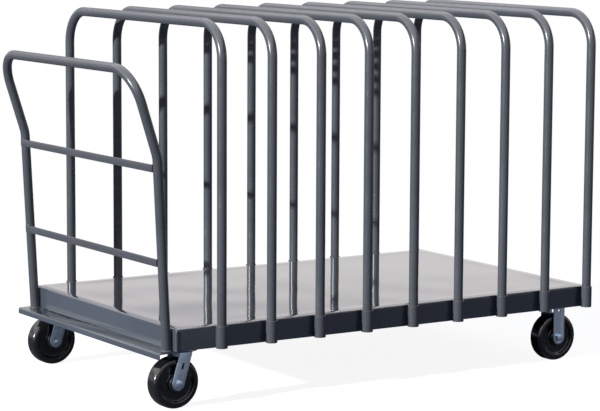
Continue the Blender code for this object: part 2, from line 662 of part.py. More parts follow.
def make_swivel_caster(name, x, side):
    """A swivel caster: plate and bearing on the bolster, fork, kingpin, axle, wheel and bush."""
    y = caster_line(side)
    swivel = pivot(name + "_swivel_axis", (x, y, 0))
    axle_line = pivot(name + "_wheel_axis", (-SWIVEL_LEAD, 0, WHEEL_RADIUS), swivel)

    plate = caster_plate(name + "_plate", (x, y, CASTER_HEIGHT - PLATE_THICKNESS / 2.0))
    pin_hole = KINGPIN_RADIUS + KINGPIN_PLAY
    combine(plate, [rod(pin_hole, PLATE_THICKNESS + 2.0 * CUT_OVERRUN, ROUND_SIDES)], "DIFFERENCE")

    race_top = PLATE_BOTTOM - TOUCH
    race = [
        (RACE_BORE_RADIUS, race_top - RACE_HEIGHT),
        (RACE_OUTER_RADIUS, race_top - RACE_HEIGHT),
        (RACE_OUTER_RADIUS, race_top - RACE_LIP_HEIGHT),
        (RACE_OUTER_RADIUS - RACE_LIP_INSET, race_top),
        (RACE_BORE_RADIUS, race_top),
    ]
    place(turned(race, WHEEL_SIDES), name + "_bearing", ZINC, (x, y, 0))

    legs = leg_pair(raked_leg_outline())
    fork = place(legs[0], name + "_fork", ZINC, parent=axle_line)
    head_back = SWIVEL_LEAD - FORK_HEAD_SHIFT - FORK_LEG_WIDTH / 2.0
    across = fork_gap() + 2.0 * FORK_WALL
    yoke_top = YOKE_TOP - WHEEL_RADIUS
    middle_z = yoke_top - FORK_YOKE_THICKNESS / 2.0
    yoke_disc = moved(rod(YOKE_RADIUS, FORK_YOKE_THICKNESS, WHEEL_SIDES), SWIVEL_LEAD, 0, middle_z)
    yoke_bar = box(SWIVEL_LEAD - head_back, across, FORK_YOKE_THICKNESS)
    moved(yoke_bar, (SWIVEL_LEAD + head_back) / 2.0, 0, middle_z)
    combine(fork, [legs[1], yoke_disc, yoke_bar], "UNION")
    through = across + 2.0 * CUT_OVERRUN
    rake = atan2(SWIVEL_LEAD - FORK_HEAD_SHIFT, yoke_top)
    slot = box(FORK_SLOT_WIDTH, through, FORK_SLOT_LENGTH)
    bmesh.ops.rotate(slot, verts=slot.verts, cent=(0, 0, 0), matrix=Matrix.Rotation(rake, 3, "Y"))
    moved(slot, FORK_SLOT_RISE * tan(rake), 0, FORK_SLOT_RISE)
    axle_hole = rod(AXLE_RADIUS + TOUCH, through, ROUND_SIDES, "Y")
    pin_cut = rod(pin_hole, FORK_YOKE_THICKNESS + 2.0 * CUT_OVERRUN, ROUND_SIDES)
    combine(fork, [slot, axle_hole, moved(pin_cut, SWIVEL_LEAD, 0, middle_z)], "DIFFERENCE")

    pin_top = CASTER_HEIGHT - KINGPIN_RECESS
    pin_low = YOKE_TOP - FORK_YOKE_THICKNESS - TOUCH
    pin_length = pin_top - pin_low + KINGPIN_HEAD_DEPTH
    shank = moved(rod(KINGPIN_RADIUS, pin_length, ROUND_SIDES), z=pin_top - pin_length / 2.0)
    pin = place(shank, name + "_kingpin", ZINC, parent=swivel)
    head = rod(KINGPIN_HEAD_RADIUS, KINGPIN_HEAD_DEPTH, HEX_SIDES)
    combine(pin, [moved(head, z=pin_low - KINGPIN_HEAD_DEPTH / 2.0)], "UNION")

    make_axle(name, side, axle_line)
    make_wheel(name, axle_line)


def make_rigid_caster(name, x, side):
    """A rigid caster: plate and fork in one, axle, wheel and bush."""
    axle_line = pivot(name + "_wheel_axis", (x, caster_line(side), WHEEL_RADIUS))
    rise = PLATE_BOTTOM + PLATE_THICKNESS / 2.0 - WHEEL_RADIUS
    frame = caster_plate(name + "_frame", (0, 0, rise), axle_line)
    legs = leg_pair(straight_leg_outline())
    through = fork_gap() + 2.0 * (FORK_WALL + CUT_OVERRUN)
    combine(frame, [moved(leg, z=TOUCH - rise) for leg in legs], "UNION")
    axle_hole = moved(rod(AXLE_RADIUS + TOUCH, through, ROUND_SIDES, "Y"), z=-rise)
    drop = -PLATE_THICKNESS / 2.0 - RIGID_HOLE_DROP
    rivet_hole = moved(rod(RIGID_HOLE_RADIUS, through, BOLT_SIDES, "Y"), z=drop)
    combine(frame, [axle_hole, rivet_hole], "DIFFERENCE")
    make_axle(name, side, axle_line)
    make_wheel(name, axle_line)


def make_casters():
    """Swivel casters under the handle end, rigid casters under the far end."""
    for side, word in ((-1, "near"), (1, "far")):
        make_swivel_caster("swivel_" + word, HANDLE_END + SWIVEL_END_INSET, side)
        make_rigid_caster("rigid_" + word, FAR_END - RIGID_END_INSET, side)


def build():
    """Make the whole cart."""
    clear_scene()
    make_deck_pan()
    make_bolster("bolster_swivel", HANDLE_END + SWIVEL_END_INSET)
    make_bolster("bolster_rigid", FAR_END - RIGID_END_INSET)
    make_stiffener()
    make_bumper()
    make_handle()
    make_crossbars()
    make_hoops()
    make_casters()


build()
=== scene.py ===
# %% [markdown]
# # A steel panel cart, dressed piece by piece
#
# The cart carries doors and sheet goods on edge. Its deck is one folded sheet, its hoops are bent
# tube that lifts out of sockets, and its handle is welded on. The solids that move and carry load
# come in first, as a fixed frame. Every later cell reads its places from them, so nothing has to
# be fitted by eye. Lengths are in metres, +X runs away from the handle, and -Y is the near side.

# %% Load the frame
from math import acos, atan2, cos, degrees, pi, radians, sin, tan

import bmesh
import bpy
from mathutils import Matrix, Vector, noise


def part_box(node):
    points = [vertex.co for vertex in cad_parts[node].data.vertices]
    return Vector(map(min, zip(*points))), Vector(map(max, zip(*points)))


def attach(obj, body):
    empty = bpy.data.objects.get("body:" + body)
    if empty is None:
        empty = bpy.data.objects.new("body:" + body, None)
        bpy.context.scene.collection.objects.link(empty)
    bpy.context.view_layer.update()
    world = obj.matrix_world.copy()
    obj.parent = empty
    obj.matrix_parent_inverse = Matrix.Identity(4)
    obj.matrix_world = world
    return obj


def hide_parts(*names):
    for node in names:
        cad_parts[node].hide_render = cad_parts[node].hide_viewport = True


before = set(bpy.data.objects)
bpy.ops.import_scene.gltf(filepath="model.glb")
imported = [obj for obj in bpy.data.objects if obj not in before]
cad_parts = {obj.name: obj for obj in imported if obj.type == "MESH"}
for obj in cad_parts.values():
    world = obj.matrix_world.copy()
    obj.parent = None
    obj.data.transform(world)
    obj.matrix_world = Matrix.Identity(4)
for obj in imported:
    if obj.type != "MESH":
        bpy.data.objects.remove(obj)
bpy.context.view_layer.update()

MM = 0.001
INCH = 0.0254

# %% [markdown]
# Whatever the scene shows is a mesh, a lamp or a camera that an object holds. Shapes are worked on
# as a bmesh and written to a mesh once they are done.

# %% Meshes and objects
def new_object(name, data):
    """An object in the scene that holds a mesh, a lamp or a camera."""
    made = bpy.data.objects.new(name, data)
    bpy.context.scene.collection.objects.link(made)
    return made


def to_mesh(bm, name):
    """Write a bmesh to a new mesh, and let go of it."""
    mesh = bpy.data.meshes.new(name)
    bm.to_mesh(mesh)
    bm.free()
    return mesh


# %% [markdown]
# ## The camera
#
# The picture was taken a long way off with a long lens, a little above the push bar, so parallel
# edges hardly close in. The place, the turn and the lens were worked out from the deck's corners,
# the hoops and the wheels. A turn of the camera is three turns in a row: tip up, tilt, swing
# round.

# %% Place the camera
CAMERA_PLACE = (-4.001, -6.254, 1.474)
CAMERA_SWING = radians(32.757)
CAMERA_TIP = radians(7.418)
CAMERA_TILT = radians(0.284)
CAMERA_LENS = 141.1
SENSOR_WIDTH = 36.0

camera_data = bpy.data.cameras.new("camera")
camera_data.lens = CAMERA_LENS
camera_data.sensor_width = SENSOR_WIDTH
camera = new_object("camera", camera_data)
swing = Matrix.Rotation(-CAMERA_SWING, 4, "Z")
tip = Matrix.Rotation(pi / 2.0 - CAMERA_TIP, 4, "X")
tilt = Matrix.Rotation(CAMERA_TILT, 4, "Z")
camera.matrix_world = Matrix.Translation(CAMERA_PLACE) @ swing @ tip @ tilt
bpy.context.scene.camera = camera
bpy.context.scene.view_settings.view_transform = "Standard"
print("camera lens in mm", camera_data.lens)

# %% [markdown]
# ## Light
#
# In the picture the light comes low from the handle end: the end skirt and the left side of each
# tube are lit, the near skirt is almost black, and the push bar and the bars throw small sharp
# shadows on the legs behind them. A small key lamp does that, and a weak broad one from the far
# right keeps the back readable.

# %% Key lamp and fill lamp
KEY_TOWARDS = (0.96, 0.11, -0.25)
KEY_STRENGTH = 4.2
KEY_SPREAD = radians(1.2)
FILL_TOWARDS = (-0.55, -0.45, -0.60)
FILL_STRENGTH = 0.25
FILL_SPREAD = radians(60.0)


def add_sun(name, towards, strength, spread):
    """A distant lamp, even over the whole cart. The spread is how soft its shadows are."""
    data = bpy.data.lights.new(name, "SUN")
    data.energy = strength
    data.angle = spread
    lamp = new_object(name, data)
    lamp.rotation_mode = "QUATERNION"
    lamp.rotation_quaternion = Vector(towards).to_track_quat("-Z", "Y")


add_sun("key", KEY_TOWARDS, KEY_STRENGTH, KEY_SPREAD)
add_sun("fill", FILL_TOWARDS, FILL_STRENGTH, FILL_SPREAD)
print("lamps", KEY_STRENGTH, FILL_STRENGTH)

# %% [markdown]
# The world and every finish are node trees, and a tree is a few moves done many times: place a
# node, give its inputs a value or a link, stretch a range, mix two colours. One helper for each
# move keeps the trees below short enough to read as sentences.

# %% Helpers for node trees
NODE_PITCH = 200.0


def node(tree, kind):
    """A new node, set to the right of the last one in the editor."""
    made = tree.nodes.new(kind)
    made.location.x = NODE_PITCH * len(tree.nodes)
    return made


def feed(tree, socket, value):
    """Link an input to another node's output, or give it a plain value."""
    if isinstance(value, bpy.types.NodeSocket):
        tree.links.new(value, socket)
    else:
        socket.default_value = value


def worked_out(tree, kind, operation, values):
    """What a Math or a Vector Math node makes of some values."""
    made = node(tree, kind)
    made.operation = operation
    for socket, value in zip(made.inputs, values):
        feed(tree, socket, value)
    return made.outputs[0]


def remap(tree, value, old_range, new_range):
    """Stretch a value from one range to another, and hold it between the ends."""
    made = node(tree, "ShaderNodeMapRange")
    feed(tree, made.inputs["Value"], value)
    labels = ("From Min", "From Max", "To Min", "To Max")
    for label, bound in zip(labels, (*old_range, *new_range)):
        feed(tree, made.inputs[label], bound)
    return made.outputs["Result"]


def mixed(tree, factor, first, second):
    """The first colour where the factor is 0, and the second where it is 1."""
    made = node(tree, "ShaderNodeMix")
    made.data_type = "RGBA"
    for label, value in (("Factor", factor), ("A", first), ("B", second)):
        feed(tree, made.inputs[label], value)
    return made.outputs["Result"]


# %% [markdown]
# ## The world
#
# The world is white where the camera looks past the cart, and a low, slightly cool fill for the
# light that falls on things. Mirrors see a third world, which is how the finishes get the
# picture's highlights without more light. It is bright at the horizon and a little dimmer ten
# degrees up, which is why the deck gets darker towards the camera. Overhead, and more so at the
# handle end, it is brightest, and that puts the pale line along each bar a little below its top.
# Light Path tells the three kinds of ray apart, and each Mix node lays one world over the last.

# %% Build the world
AMBIENT = (0.10, 0.105, 0.13, 1.0)
BACKGROUND_WHITE = (1.0, 1.0, 1.0, 1.0)
MIRRORED_FLOOR = (0.26, 0.27, 0.31, 1.0)
MIRRORED_LOW = (0.90, 0.865, 0.87, 1.0)
MIRRORED_HIGH = (0.60, 0.59, 0.625, 1.0)
MIRRORED_TOP = (2.8, 2.76, 2.8, 1.0)
HORIZON_BAND = 0.06
LOW_SKY = 0.162
HIGH_SKY = 0.184
TOP_LEAN = -0.3
TOP_START = 0.40
TOP_END = 0.60
WHOLE = (0.0, 1.0)

world = bpy.data.worlds.new("studio")
bpy.context.scene.world = world
world.use_nodes = True
tree = world.node_tree
tree.nodes.clear()
paths = node(tree, "ShaderNodeLightPath").outputs
way = node(tree, "ShaderNodeSeparateXYZ")
feed(tree, way.inputs[0], node(tree, "ShaderNodeTexCoord").outputs["Generated"])
rise = way.outputs["Z"]
leaning = (way.outputs["X"], TOP_LEAN, rise)
towards_top = worked_out(tree, "ShaderNodeMath", "MULTIPLY_ADD", leaning)
above = remap(tree, rise, (-HORIZON_BAND, HORIZON_BAND), WHOLE)
higher = remap(tree, rise, (LOW_SKY, HIGH_SKY), WHOLE)
overhead = remap(tree, towards_top, (TOP_START, TOP_END), WHOLE)
sky = mixed(tree, higher, MIRRORED_LOW, MIRRORED_HIGH)
sky = mixed(tree, overhead, sky, MIRRORED_TOP)
mirrored = mixed(tree, above, MIRRORED_FLOOR, sky)
light = mixed(tree, paths["Is Glossy Ray"], AMBIENT, mirrored)
in_view = (paths["Is Camera Ray"], paths["Is Transmission Ray"])
seen = worked_out(tree, "ShaderNodeMath", "MAXIMUM", in_view)
light = mixed(tree, seen, light, BACKGROUND_WHITE)
background = node(tree, "ShaderNodeBackground")
feed(tree, background.inputs["Color"], light)
feed(tree, node(tree, "ShaderNodeOutputWorld").inputs["Surface"], background.outputs[0])
print("world nodes", len(tree.nodes))

# %% [markdown]
# ## The floor
#
# A disc a few metres across catches the cart's shadow. The camera sees it nearly white, because
# most of its light is its own, so only a faint grey shadow is left on it, and its edge fades to
# the white of the world. To the light that bounces between things, and to mirrors, the same floor
# is a cool dark grey: the upright faces in the picture get only a little from below.

# %% Floor disc
FLOOR_RADIUS = 6.0
FLOOR_SIDES = 96
FLOOR_FADE = (1.2, 2.6)
FLOOR_SEEN = (0.50, 0.50, 0.505, 1.0)
FLOOR_FELT = (0.26, 0.28, 0.35, 1.0)
FLOOR_OWN_LIGHT = 0.90

bm = bmesh.new()
bmesh.ops.create_circle(bm, cap_ends=True, segments=FLOOR_SIDES, radius=FLOOR_RADIUS)
floor = new_object("floor", to_mesh(bm, "floor"))

floor_paint = bpy.data.materials.new("pale_floor")
floor_paint.use_nodes = True
tree = floor_paint.node_tree
tree.nodes.clear()
camera_ray = node(tree, "ShaderNodeLightPath").outputs["Is Camera Ray"]
from_middle = node(tree, "ShaderNodeVectorMath")
from_middle.operation = "LENGTH"
spot = node(tree, "ShaderNodeTexCoord").outputs["Object"]
feed(tree, from_middle.inputs[0], spot)
fade = remap(tree, from_middle.outputs["Value"], FLOOR_FADE, WHOLE)
fade.node.interpolation_type = "SMOOTHSTEP"
fade = worked_out(tree, "ShaderNodeMath", "MULTIPLY", (fade, camera_ray))
matt = node(tree, "ShaderNodeBsdfDiffuse")
feed(tree, matt.inputs["Color"], mixed(tree, camera_ray, FLOOR_FELT, FLOOR_SEEN))
glow = node(tree, "ShaderNodeEmission")
own_light = worked_out(tree, "ShaderNodeMath", "MULTIPLY", (camera_ray, FLOOR_OWN_LIGHT))
feed(tree, glow.inputs["Strength"], own_light)
both = node(tree, "ShaderNodeAddShader")
feed(tree, both.inputs[0], matt.outputs[0])
feed(tree, both.inputs[1], glow.outputs[0])
faded = node(tree, "ShaderNodeMixShader")
feed(tree, faded.inputs["Fac"], fade)
feed(tree, faded.inputs[1], both.outputs[0])
feed(tree, faded.inputs[2], node(tree, "ShaderNodeEmission").outputs[0])
feed(tree, node(tree, "ShaderNodeOutputMaterial").inputs["Surface"], faded.outputs[0])
floor.data.materials.append(floor_paint)
print("floor radius", FLOOR_RADIUS)

# %% [markdown]
# ## Finishes
#
# The frame of the cart is dipped or sprayed in one dark slate enamel. Real enamel is never one
# flat colour: it is a little thicker here and thinner there, it has a fine skin like orange peel,
# and its gloss wanders. One node group gives all three as values that change over the surface,
# and each material sets its own colour and amounts. The gloss itself stays on the shader in the
# material. Each noise is named by two numbers, how fine it is and how much detail it has.

# %% Groups and noise
def new_group(name, takes, gives):
    """A shader node group with named sockets, and its two end nodes."""
    made = bpy.data.node_groups.new(name, "ShaderNodeTree")
    for label, kind, value in takes:
        socket = made.interface.new_socket(label, in_out="INPUT", socket_type=kind)
        socket.default_value = value
    for label, kind in gives:
        made.interface.new_socket(label, in_out="OUTPUT", socket_type=kind)
    return made, node(made, "NodeGroupInput"), node(made, "NodeGroupOutput")


def cloud(tree, where, scale, detail):
    """Soft noise. A larger scale makes it finer, and more detail makes it rougher."""
    made = node(tree, "ShaderNodeTexNoise")
    feed(tree, made.inputs["Vector"], where)
    feed(tree, made.inputs["Scale"], scale)
    made.inputs["Detail"].default_value = detail
    return made.outputs["Fac"]


def object_place(tree):
    """Where a point lies on its piece, which stays the same when the piece moves."""
    return node(tree, "ShaderNodeTexCoord").outputs["Object"]


# %% Enamel skin
ENAMEL_CLOUD = (3.5, 4.0)
ENAMEL_WANDER = (22.0, 3.0)
ENAMEL_PEEL = (420.0, 1.0)
MID_NOISE = (0.3, 0.7)
SKIN_OUTPUTS = [
    ("Color", "NodeSocketColor"),
    ("Roughness", "NodeSocketFloat"),
    ("Height", "NodeSocketFloat"),
]

enamel_skin, start, end = new_group(
    "enamel_skin",
    [
        ("Color", "NodeSocketColor", (0.1, 0.1, 0.1, 1.0)),
        ("Darkest", "NodeSocketFloat", 0.88),
        ("Lightest", "NodeSocketFloat", 1.1),
        ("Glossiest", "NodeSocketFloat", 0.22),
        ("Dullest", "NodeSocketFloat", 0.34),
    ],
    SKIN_OUTPUTS,
)
where = object_place(enamel_skin)
given = start.outputs
thick = cloud(enamel_skin, where, *ENAMEL_CLOUD)
tone = remap(enamel_skin, thick, MID_NOISE, (given["Darkest"], given["Lightest"]))
shaded = node(enamel_skin, "ShaderNodeVectorMath")
shaded.operation = "SCALE"
feed(enamel_skin, shaded.inputs[0], given["Color"])
feed(enamel_skin, shaded.inputs["Scale"], tone)
feed(enamel_skin, end.inputs["Color"], shaded.outputs["Vector"])
wander = cloud(enamel_skin, where, *ENAMEL_WANDER)
gloss = remap(enamel_skin, wander, MID_NOISE, (given["Glossiest"], given["Dullest"]))
feed(enamel_skin, end.inputs["Roughness"], gloss)
peel = cloud(enamel_skin, where, *ENAMEL_PEEL)
feed(enamel_skin, end.inputs["Height"], peel)
print("enamel skin nodes", len(enamel_skin.nodes))

# %% [markdown]
# Scuffs are where a thing has rubbed: thin, long and few. Noise that is stretched along one way
# and cut off high leaves only its peaks, which read as short scratches. The group gives a mask,
# and the material mixes it into the gloss or the colour, so one group serves the deck, the
# bumper, the tubes and the wheels.

# %% Scuff mask
PEAK_RANGE = (0.0, 0.08)
SCUFF_DETAIL = 5.0

scuffs, start, end = new_group(
    "scuffs",
    [
        ("Stretch", "NodeSocketVector", (1.0, 1.0, 1.0)),
        ("Scale", "NodeSocketFloat", 30.0),
        ("Threshold", "NodeSocketFloat", 0.62),
        ("Strength", "NodeSocketFloat", 1.0),
    ],
    [("Mask", "NodeSocketFloat")],
)
given = start.outputs
pulled = (object_place(scuffs), given["Stretch"])
pulled = worked_out(scuffs, "ShaderNodeVectorMath", "MULTIPLY", pulled)
streaks = cloud(scuffs, pulled, given["Scale"], SCUFF_DETAIL)
over = worked_out(scuffs, "ShaderNodeMath", "SUBTRACT", (streaks, given["Threshold"]))
feed(scuffs, end.inputs["Mask"], remap(scuffs, over, PEAK_RANGE, (0.0, given["Strength"])))
print("scuff nodes", len(scuffs.nodes))

# %% Put a group in a material
def new_material(name, ior, metallic=0.0):
    """A material with a plain Principled shader, and its tree."""
    made = bpy.data.materials.new(name)
    made.use_nodes = True
    shader = made.node_tree.nodes["Principled BSDF"]
    shader.inputs["IOR"].default_value = ior
    shader.inputs["Metallic"].default_value = metallic
    return made, made.node_tree, shader


def use_group(tree, group, values):
    """Place a group in a tree with its own values, and hand back what it puts out."""
    made = node(tree, "ShaderNodeGroup")
    made.node_tree = group
    for label, value in values.items():
        feed(tree, made.inputs[label], value)
    return made.outputs


def bump_from(tree, height, depth, strength, shader):
    """Turn a height into the way the surface leans."""
    made = node(tree, "ShaderNodeBump")
    made.inputs["Strength"].default_value = strength
    made.inputs["Distance"].default_value = depth
    feed(tree, made.inputs["Height"], height)
    feed(tree, shader.inputs["Normal"], made.outputs["Normal"])


# %% [markdown]
# The enamel's colour is read where the lamp strikes it square, on the end skirt: a slate with
# more blue than red. Seen square on it mirrors hardly anything. The deck has a clear coat as
# well, and along it the two mirror more than half of what lies beyond, which is why the dark deck
# looks pale in the picture. One function makes all four enamels, which differ in gloss and in
# their scuffs.

# %% Slate enamel
SLATE = (0.077, 0.086, 0.100, 1.0)
SLATE_DECK = (0.074, 0.090, 0.112, 1.0)
ENAMEL_IOR = 1.50
TUBE_GLOSS = (0.20, 0.29)
DECK_GLOSS = (0.03, 0.08)
BUMPER_GLOSS = (0.04, 0.10)
WELD_GLOSS = (0.30, 0.42)
DECK_COAT = 0.9
COAT_ROUGHNESS = 0.03
PEEL_DEPTH = 0.05 * MM
PEEL_STRENGTH = 0.5
SCUFF_COLOUR = (0.20, 0.21, 0.22, 1.0)
SCUFF_TUBE = {"Stretch": (1.0, 1.0, 0.2), "Scale": 90.0, "Threshold": 0.68, "Strength": 0.10}
SCUFF_DECK = {"Stretch": (0.25, 1.0, 1.0), "Scale": 34.0, "Threshold": 0.66, "Strength": 0.08}
SCUFF_BUMPER = {"Stretch": (1.0, 0.2, 1.0), "Scale": 60.0, "Threshold": 0.68, "Strength": 0.08}


def make_enamel(name, colour, gloss, scuff_values, coat=0.0):
    """Slate enamel: cloudy colour, wandering gloss, orange peel, and scuffs where they belong."""
    made, tree, shader = new_material(name, ENAMEL_IOR)
    shader.inputs["Coat Weight"].default_value = coat
    shader.inputs["Coat Roughness"].default_value = COAT_ROUGHNESS
    skin_values = {"Color": colour, "Glossiest": gloss[0], "Dullest": gloss[1]}
    skin = use_group(tree, enamel_skin, skin_values)
    rub = use_group(tree, scuffs, scuff_values)["Mask"]
    worn = mixed(tree, rub, skin["Color"], SCUFF_COLOUR)
    feed(tree, shader.inputs["Base Color"], worn)
    rougher = worked_out(tree, "ShaderNodeMath", "ADD", (skin["Roughness"], rub))
    feed(tree, shader.inputs["Roughness"], rougher)
    bump_from(tree, skin["Height"], PEEL_DEPTH, PEEL_STRENGTH, shader)
    return made


enamel_tube = make_enamel("slate_enamel_tube", SLATE, TUBE_GLOSS, SCUFF_TUBE)
enamel_deck = make_enamel("slate_enamel_deck", SLATE_DECK, DECK_GLOSS, SCUFF_DECK, DECK_COAT)
enamel_bumper = make_enamel("slate_enamel_bumper", SLATE_DECK, BUMPER_GLOSS, SCUFF_BUMPER)
enamel_weld = make_enamel("slate_enamel_weld", SLATE, WELD_GLOSS, SCUFF_TUBE)
print("enamels", enamel_tube.name, enamel_deck.name, enamel_bumper.name, enamel_weld.name)

# %% [markdown]
# Bright zinc plate is a metal skin a few thousandths of a millimetre thick. It is bluish, its
# gloss is uneven where the bath has drained, and stamped steel shows faint lines from rolling
# through it. So the colour goes between two blues with a soft noise, and a second noise,
# stretched along one way, gives the lines as a height.

# %% Zinc plate
METAL_IOR = 1.5
ZINC_COLOUR = (0.47, 0.58, 0.70, 1.0)
ZINC_DULL = (0.34, 0.42, 0.51, 1.0)
ZINC_GLOSS = (0.28, 0.46)
ZINC_PATCHES = (38.0, 4.0)
ZINC_PATCH_EDGE = (0.35, 0.65)
ZINC_GRAIN = (160.0, 2.0)
ZINC_GRAIN_DEPTH = 0.04 * MM
ZINC_GRAIN_STRENGTH = 0.6
ROLLED_UP = (1.0, 1.0, 0.12)
ROLLED_ACROSS = (1.0, 0.2, 1.0)

zinc_skin, start, end = new_group(
    "zinc_skin", [("Grain way", "NodeSocketVector", ROLLED_UP)], SKIN_OUTPUTS
)
where = object_place(zinc_skin)
patches = cloud(zinc_skin, where, *ZINC_PATCHES)
drained = remap(zinc_skin, patches, ZINC_PATCH_EDGE, WHOLE)
feed(zinc_skin, end.inputs["Color"], mixed(zinc_skin, drained, ZINC_COLOUR, ZINC_DULL))
feed(zinc_skin, end.inputs["Roughness"], remap(zinc_skin, patches, MID_NOISE, ZINC_GLOSS))
along = (where, start.outputs["Grain way"])
along = worked_out(zinc_skin, "ShaderNodeVectorMath", "MULTIPLY", along)
feed(zinc_skin, end.inputs["Height"], cloud(zinc_skin, along, *ZINC_GRAIN))


def make_zinc(name, grain_way):
    """Zinc plate whose rolling lines run one way."""
    made, tree, shader = new_material(name, METAL_IOR, metallic=1.0)
    skin = use_group(tree, zinc_skin, {"Grain way": grain_way})
    feed(tree, shader.inputs["Base Color"], skin["Color"])
    feed(tree, shader.inputs["Roughness"], skin["Roughness"])
    bump_from(tree, skin["Height"], ZINC_GRAIN_DEPTH, ZINC_GRAIN_STRENGTH, shader)
    return made


zinc_stamped = make_zinc("zinc_stamped", ROLLED_UP)
zinc_turned = make_zinc("zinc_turned", ROLLED_ACROSS)
print("zincs", zinc_stamped.name, zinc_turned.name)

# %% [markdown]
# The wheels are moulded from a black resin filled with cloth or wood flour. The moulded faces are
# glossy with a faint speckle of the filler. Flecks are the peaks of a very fine noise, and the
# scuff group dulls them here and there, as years of rolling would.

# %% Moulded black resin
RESIN_BLACK = (0.009, 0.010, 0.012, 1.0)
RESIN_FLECK = (0.030, 0.029, 0.028, 1.0)
RESIN_IOR = 1.52
RESIN_GLOSS = (0.16, 0.9)
FLECKS = (520.0, 2.0)
FLECK_EDGE = (0.58, 0.72)
FLECK_DEPTH = 0.02 * MM
FLECK_STRENGTH = 0.4
SCUFF_WHEEL = {"Stretch": (1.0, 0.4, 1.0), "Scale": 120.0, "Threshold": 0.56, "Strength": 0.18}

resin, tree, shader = new_material("moulded_resin", RESIN_IOR)
flecks = cloud(tree, object_place(tree), *FLECKS)
flecks = remap(tree, flecks, FLECK_EDGE, WHOLE)
feed(tree, shader.inputs["Base Color"], mixed(tree, flecks, RESIN_BLACK, RESIN_FLECK))
rub = use_group(tree, scuffs, SCUFF_WHEEL)["Mask"]
feed(tree, shader.inputs["Roughness"], remap(tree, rub, WHOLE, RESIN_GLOSS))
bump_from(tree, flecks, FLECK_DEPTH, FLECK_STRENGTH, shader)
print("resin nodes", len(tree.nodes))

# %% [markdown]
# The bushes in the hubs are sintered bronze, a metal pressed from powder. Its pores are a fine
# noise in the gloss and in the height. Only the ends of the bushes show, so one colour is enough.

# %% Bronze for the bushes
BRONZE = (0.40, 0.28, 0.15, 1.0)
PORES = (900.0, 3.0)
PORE_DEPTH = 0.03 * MM
PORE_STRENGTH = 0.5
BRONZE_GLOSS = (0.35, 0.6)

bronze, tree, shader = new_material("bronze_bush", METAL_IOR, metallic=1.0)
shader.inputs["Base Color"].default_value = BRONZE
pores = cloud(tree, object_place(tree), *PORES)
feed(tree, shader.inputs["Roughness"], remap(tree, pores, MID_NOISE, BRONZE_GLOSS))
bump_from(tree, pores, PORE_DEPTH, PORE_STRENGTH, shader)
print("materials", len(bpy.data.materials))

# %% [markdown]
# ## Making and placing pieces
#
# Each new piece starts as a bmesh, is given its place there, and becomes an object at the origin.
# It then rides on the body that carries it, and stands for the plain solid that it dresses. The
# faces must point outward. Recalculation guesses that from one far face, and on a thin plate it
# can guess wrong, so the volume of each closed shell is measured as well: inside out, it is
# negative.

# %% From bmesh to piece
SHARP = radians(38.0)


def shells_of(bm):
    """The faces of a bmesh, one list for each connected shell."""
    left = set(bm.faces)
    while left:
        shell = []
        reached = [left.pop()]
        while reached:
            face = reached.pop()
            shell.append(face)
            beside = {other for edge in face.edges for other in edge.link_faces} & left
            left -= beside
            reached += beside
        yield shell


def face_outward(bm):
    """Point all faces outward. A shell that recalculation leaves inside out is reversed."""
    bmesh.ops.recalc_face_normals(bm, faces=bm.faces)
    for shell in shells_of(bm):
        centres = [face.calc_center_median() for face in shell]
        inside = sum(centres, Vector()) / len(shell)
        flow = 0.0
        for face, centre in zip(shell, centres):
            flow += face.normal.dot(centre - inside) * face.calc_area()
        if flow < 0.0:
            bmesh.ops.reverse_faces(bm, faces=shell)


def piece(bm, name, material, body, stands_for=()):
    """Turn a bmesh into a finished piece that rides on a body."""
    face_outward(bm)
    mesh = to_mesh(bm, name)
    mesh.shade_smooth()
    mesh.set_sharp_from_angle(angle=SHARP)
    mesh.materials.append(material)
    made = new_object(name, mesh)
    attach(made, body)
    if stands_for:
        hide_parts(*stands_for)
    return made


def middle(name):
    """The middle of a node's box."""
    low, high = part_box(name)
    return (Vector(low) + Vector(high)) / 2.0


# %% [markdown]
# Most operators work on a choice of vertices, edges or faces, and hand back what they made in one
# mixed list. These helpers pick from such lists, and wrap the moves that nearly every piece
# needs. An edge is rounded with bevel, whose defaults here aren't the editor's, so each setting
# is given.

# %% Small moves with bmesh
def fresh(items, kind):
    """The items of one kind, such as bmesh.types.BMVert, in an operator's result."""
    return [item for item in items if isinstance(item, kind)]


def all_of(bm):
    """Every vertex, edge and face."""
    return list(bm.verts) + list(bm.edges) + list(bm.faces)


def turn_about(bm, verts, angle, axis):
    """Turn vertices about an axis through the origin."""
    bmesh.ops.rotate(bm, verts=verts, cent=(0, 0, 0), matrix=Matrix.Rotation(angle, 3, axis))


def moved(bm, vector):
    """Shift a bmesh and hand it back."""
    bmesh.ops.translate(bm, verts=bm.verts, vec=vector)
    return bm


def block(size):
    """A box round the origin."""
    bm = bmesh.new()
    bmesh.ops.create_cube(bm, size=1.0)
    bmesh.ops.scale(bm, verts=bm.verts, vec=size)
    return bm


def absorb(bm, extra):
    """Add the shape of a second bmesh to the first."""
    mesh = to_mesh(extra, "passing")
    bm.from_mesh(mesh)
    bpy.data.meshes.remove(mesh)


def round_off(bm, edges, radius, steps):
    """Round edges to a radius."""
    bmesh.ops.bevel(
        bm, geom=edges, offset=radius, segments=steps, profile=0.5, affect="EDGES", material=-1
    )


def ease_edges(bm, radius, steps=2):
    """Round every edge that is sharp, as a deburred plate is."""
    bmesh.ops.recalc_face_normals(bm, faces=bm.faces)
    sharp = [edge for edge in bm.edges if edge.is_manifold and edge.calc_face_angle() > SHARP]
    round_off(bm, sharp, radius, steps)
    return bm


def upright_edges(bm, least):
    """The edges that rise by more than a least height."""
    return [edge for edge in bm.edges if abs(edge.verts[0].co.z - edge.verts[1].co.z) > least]


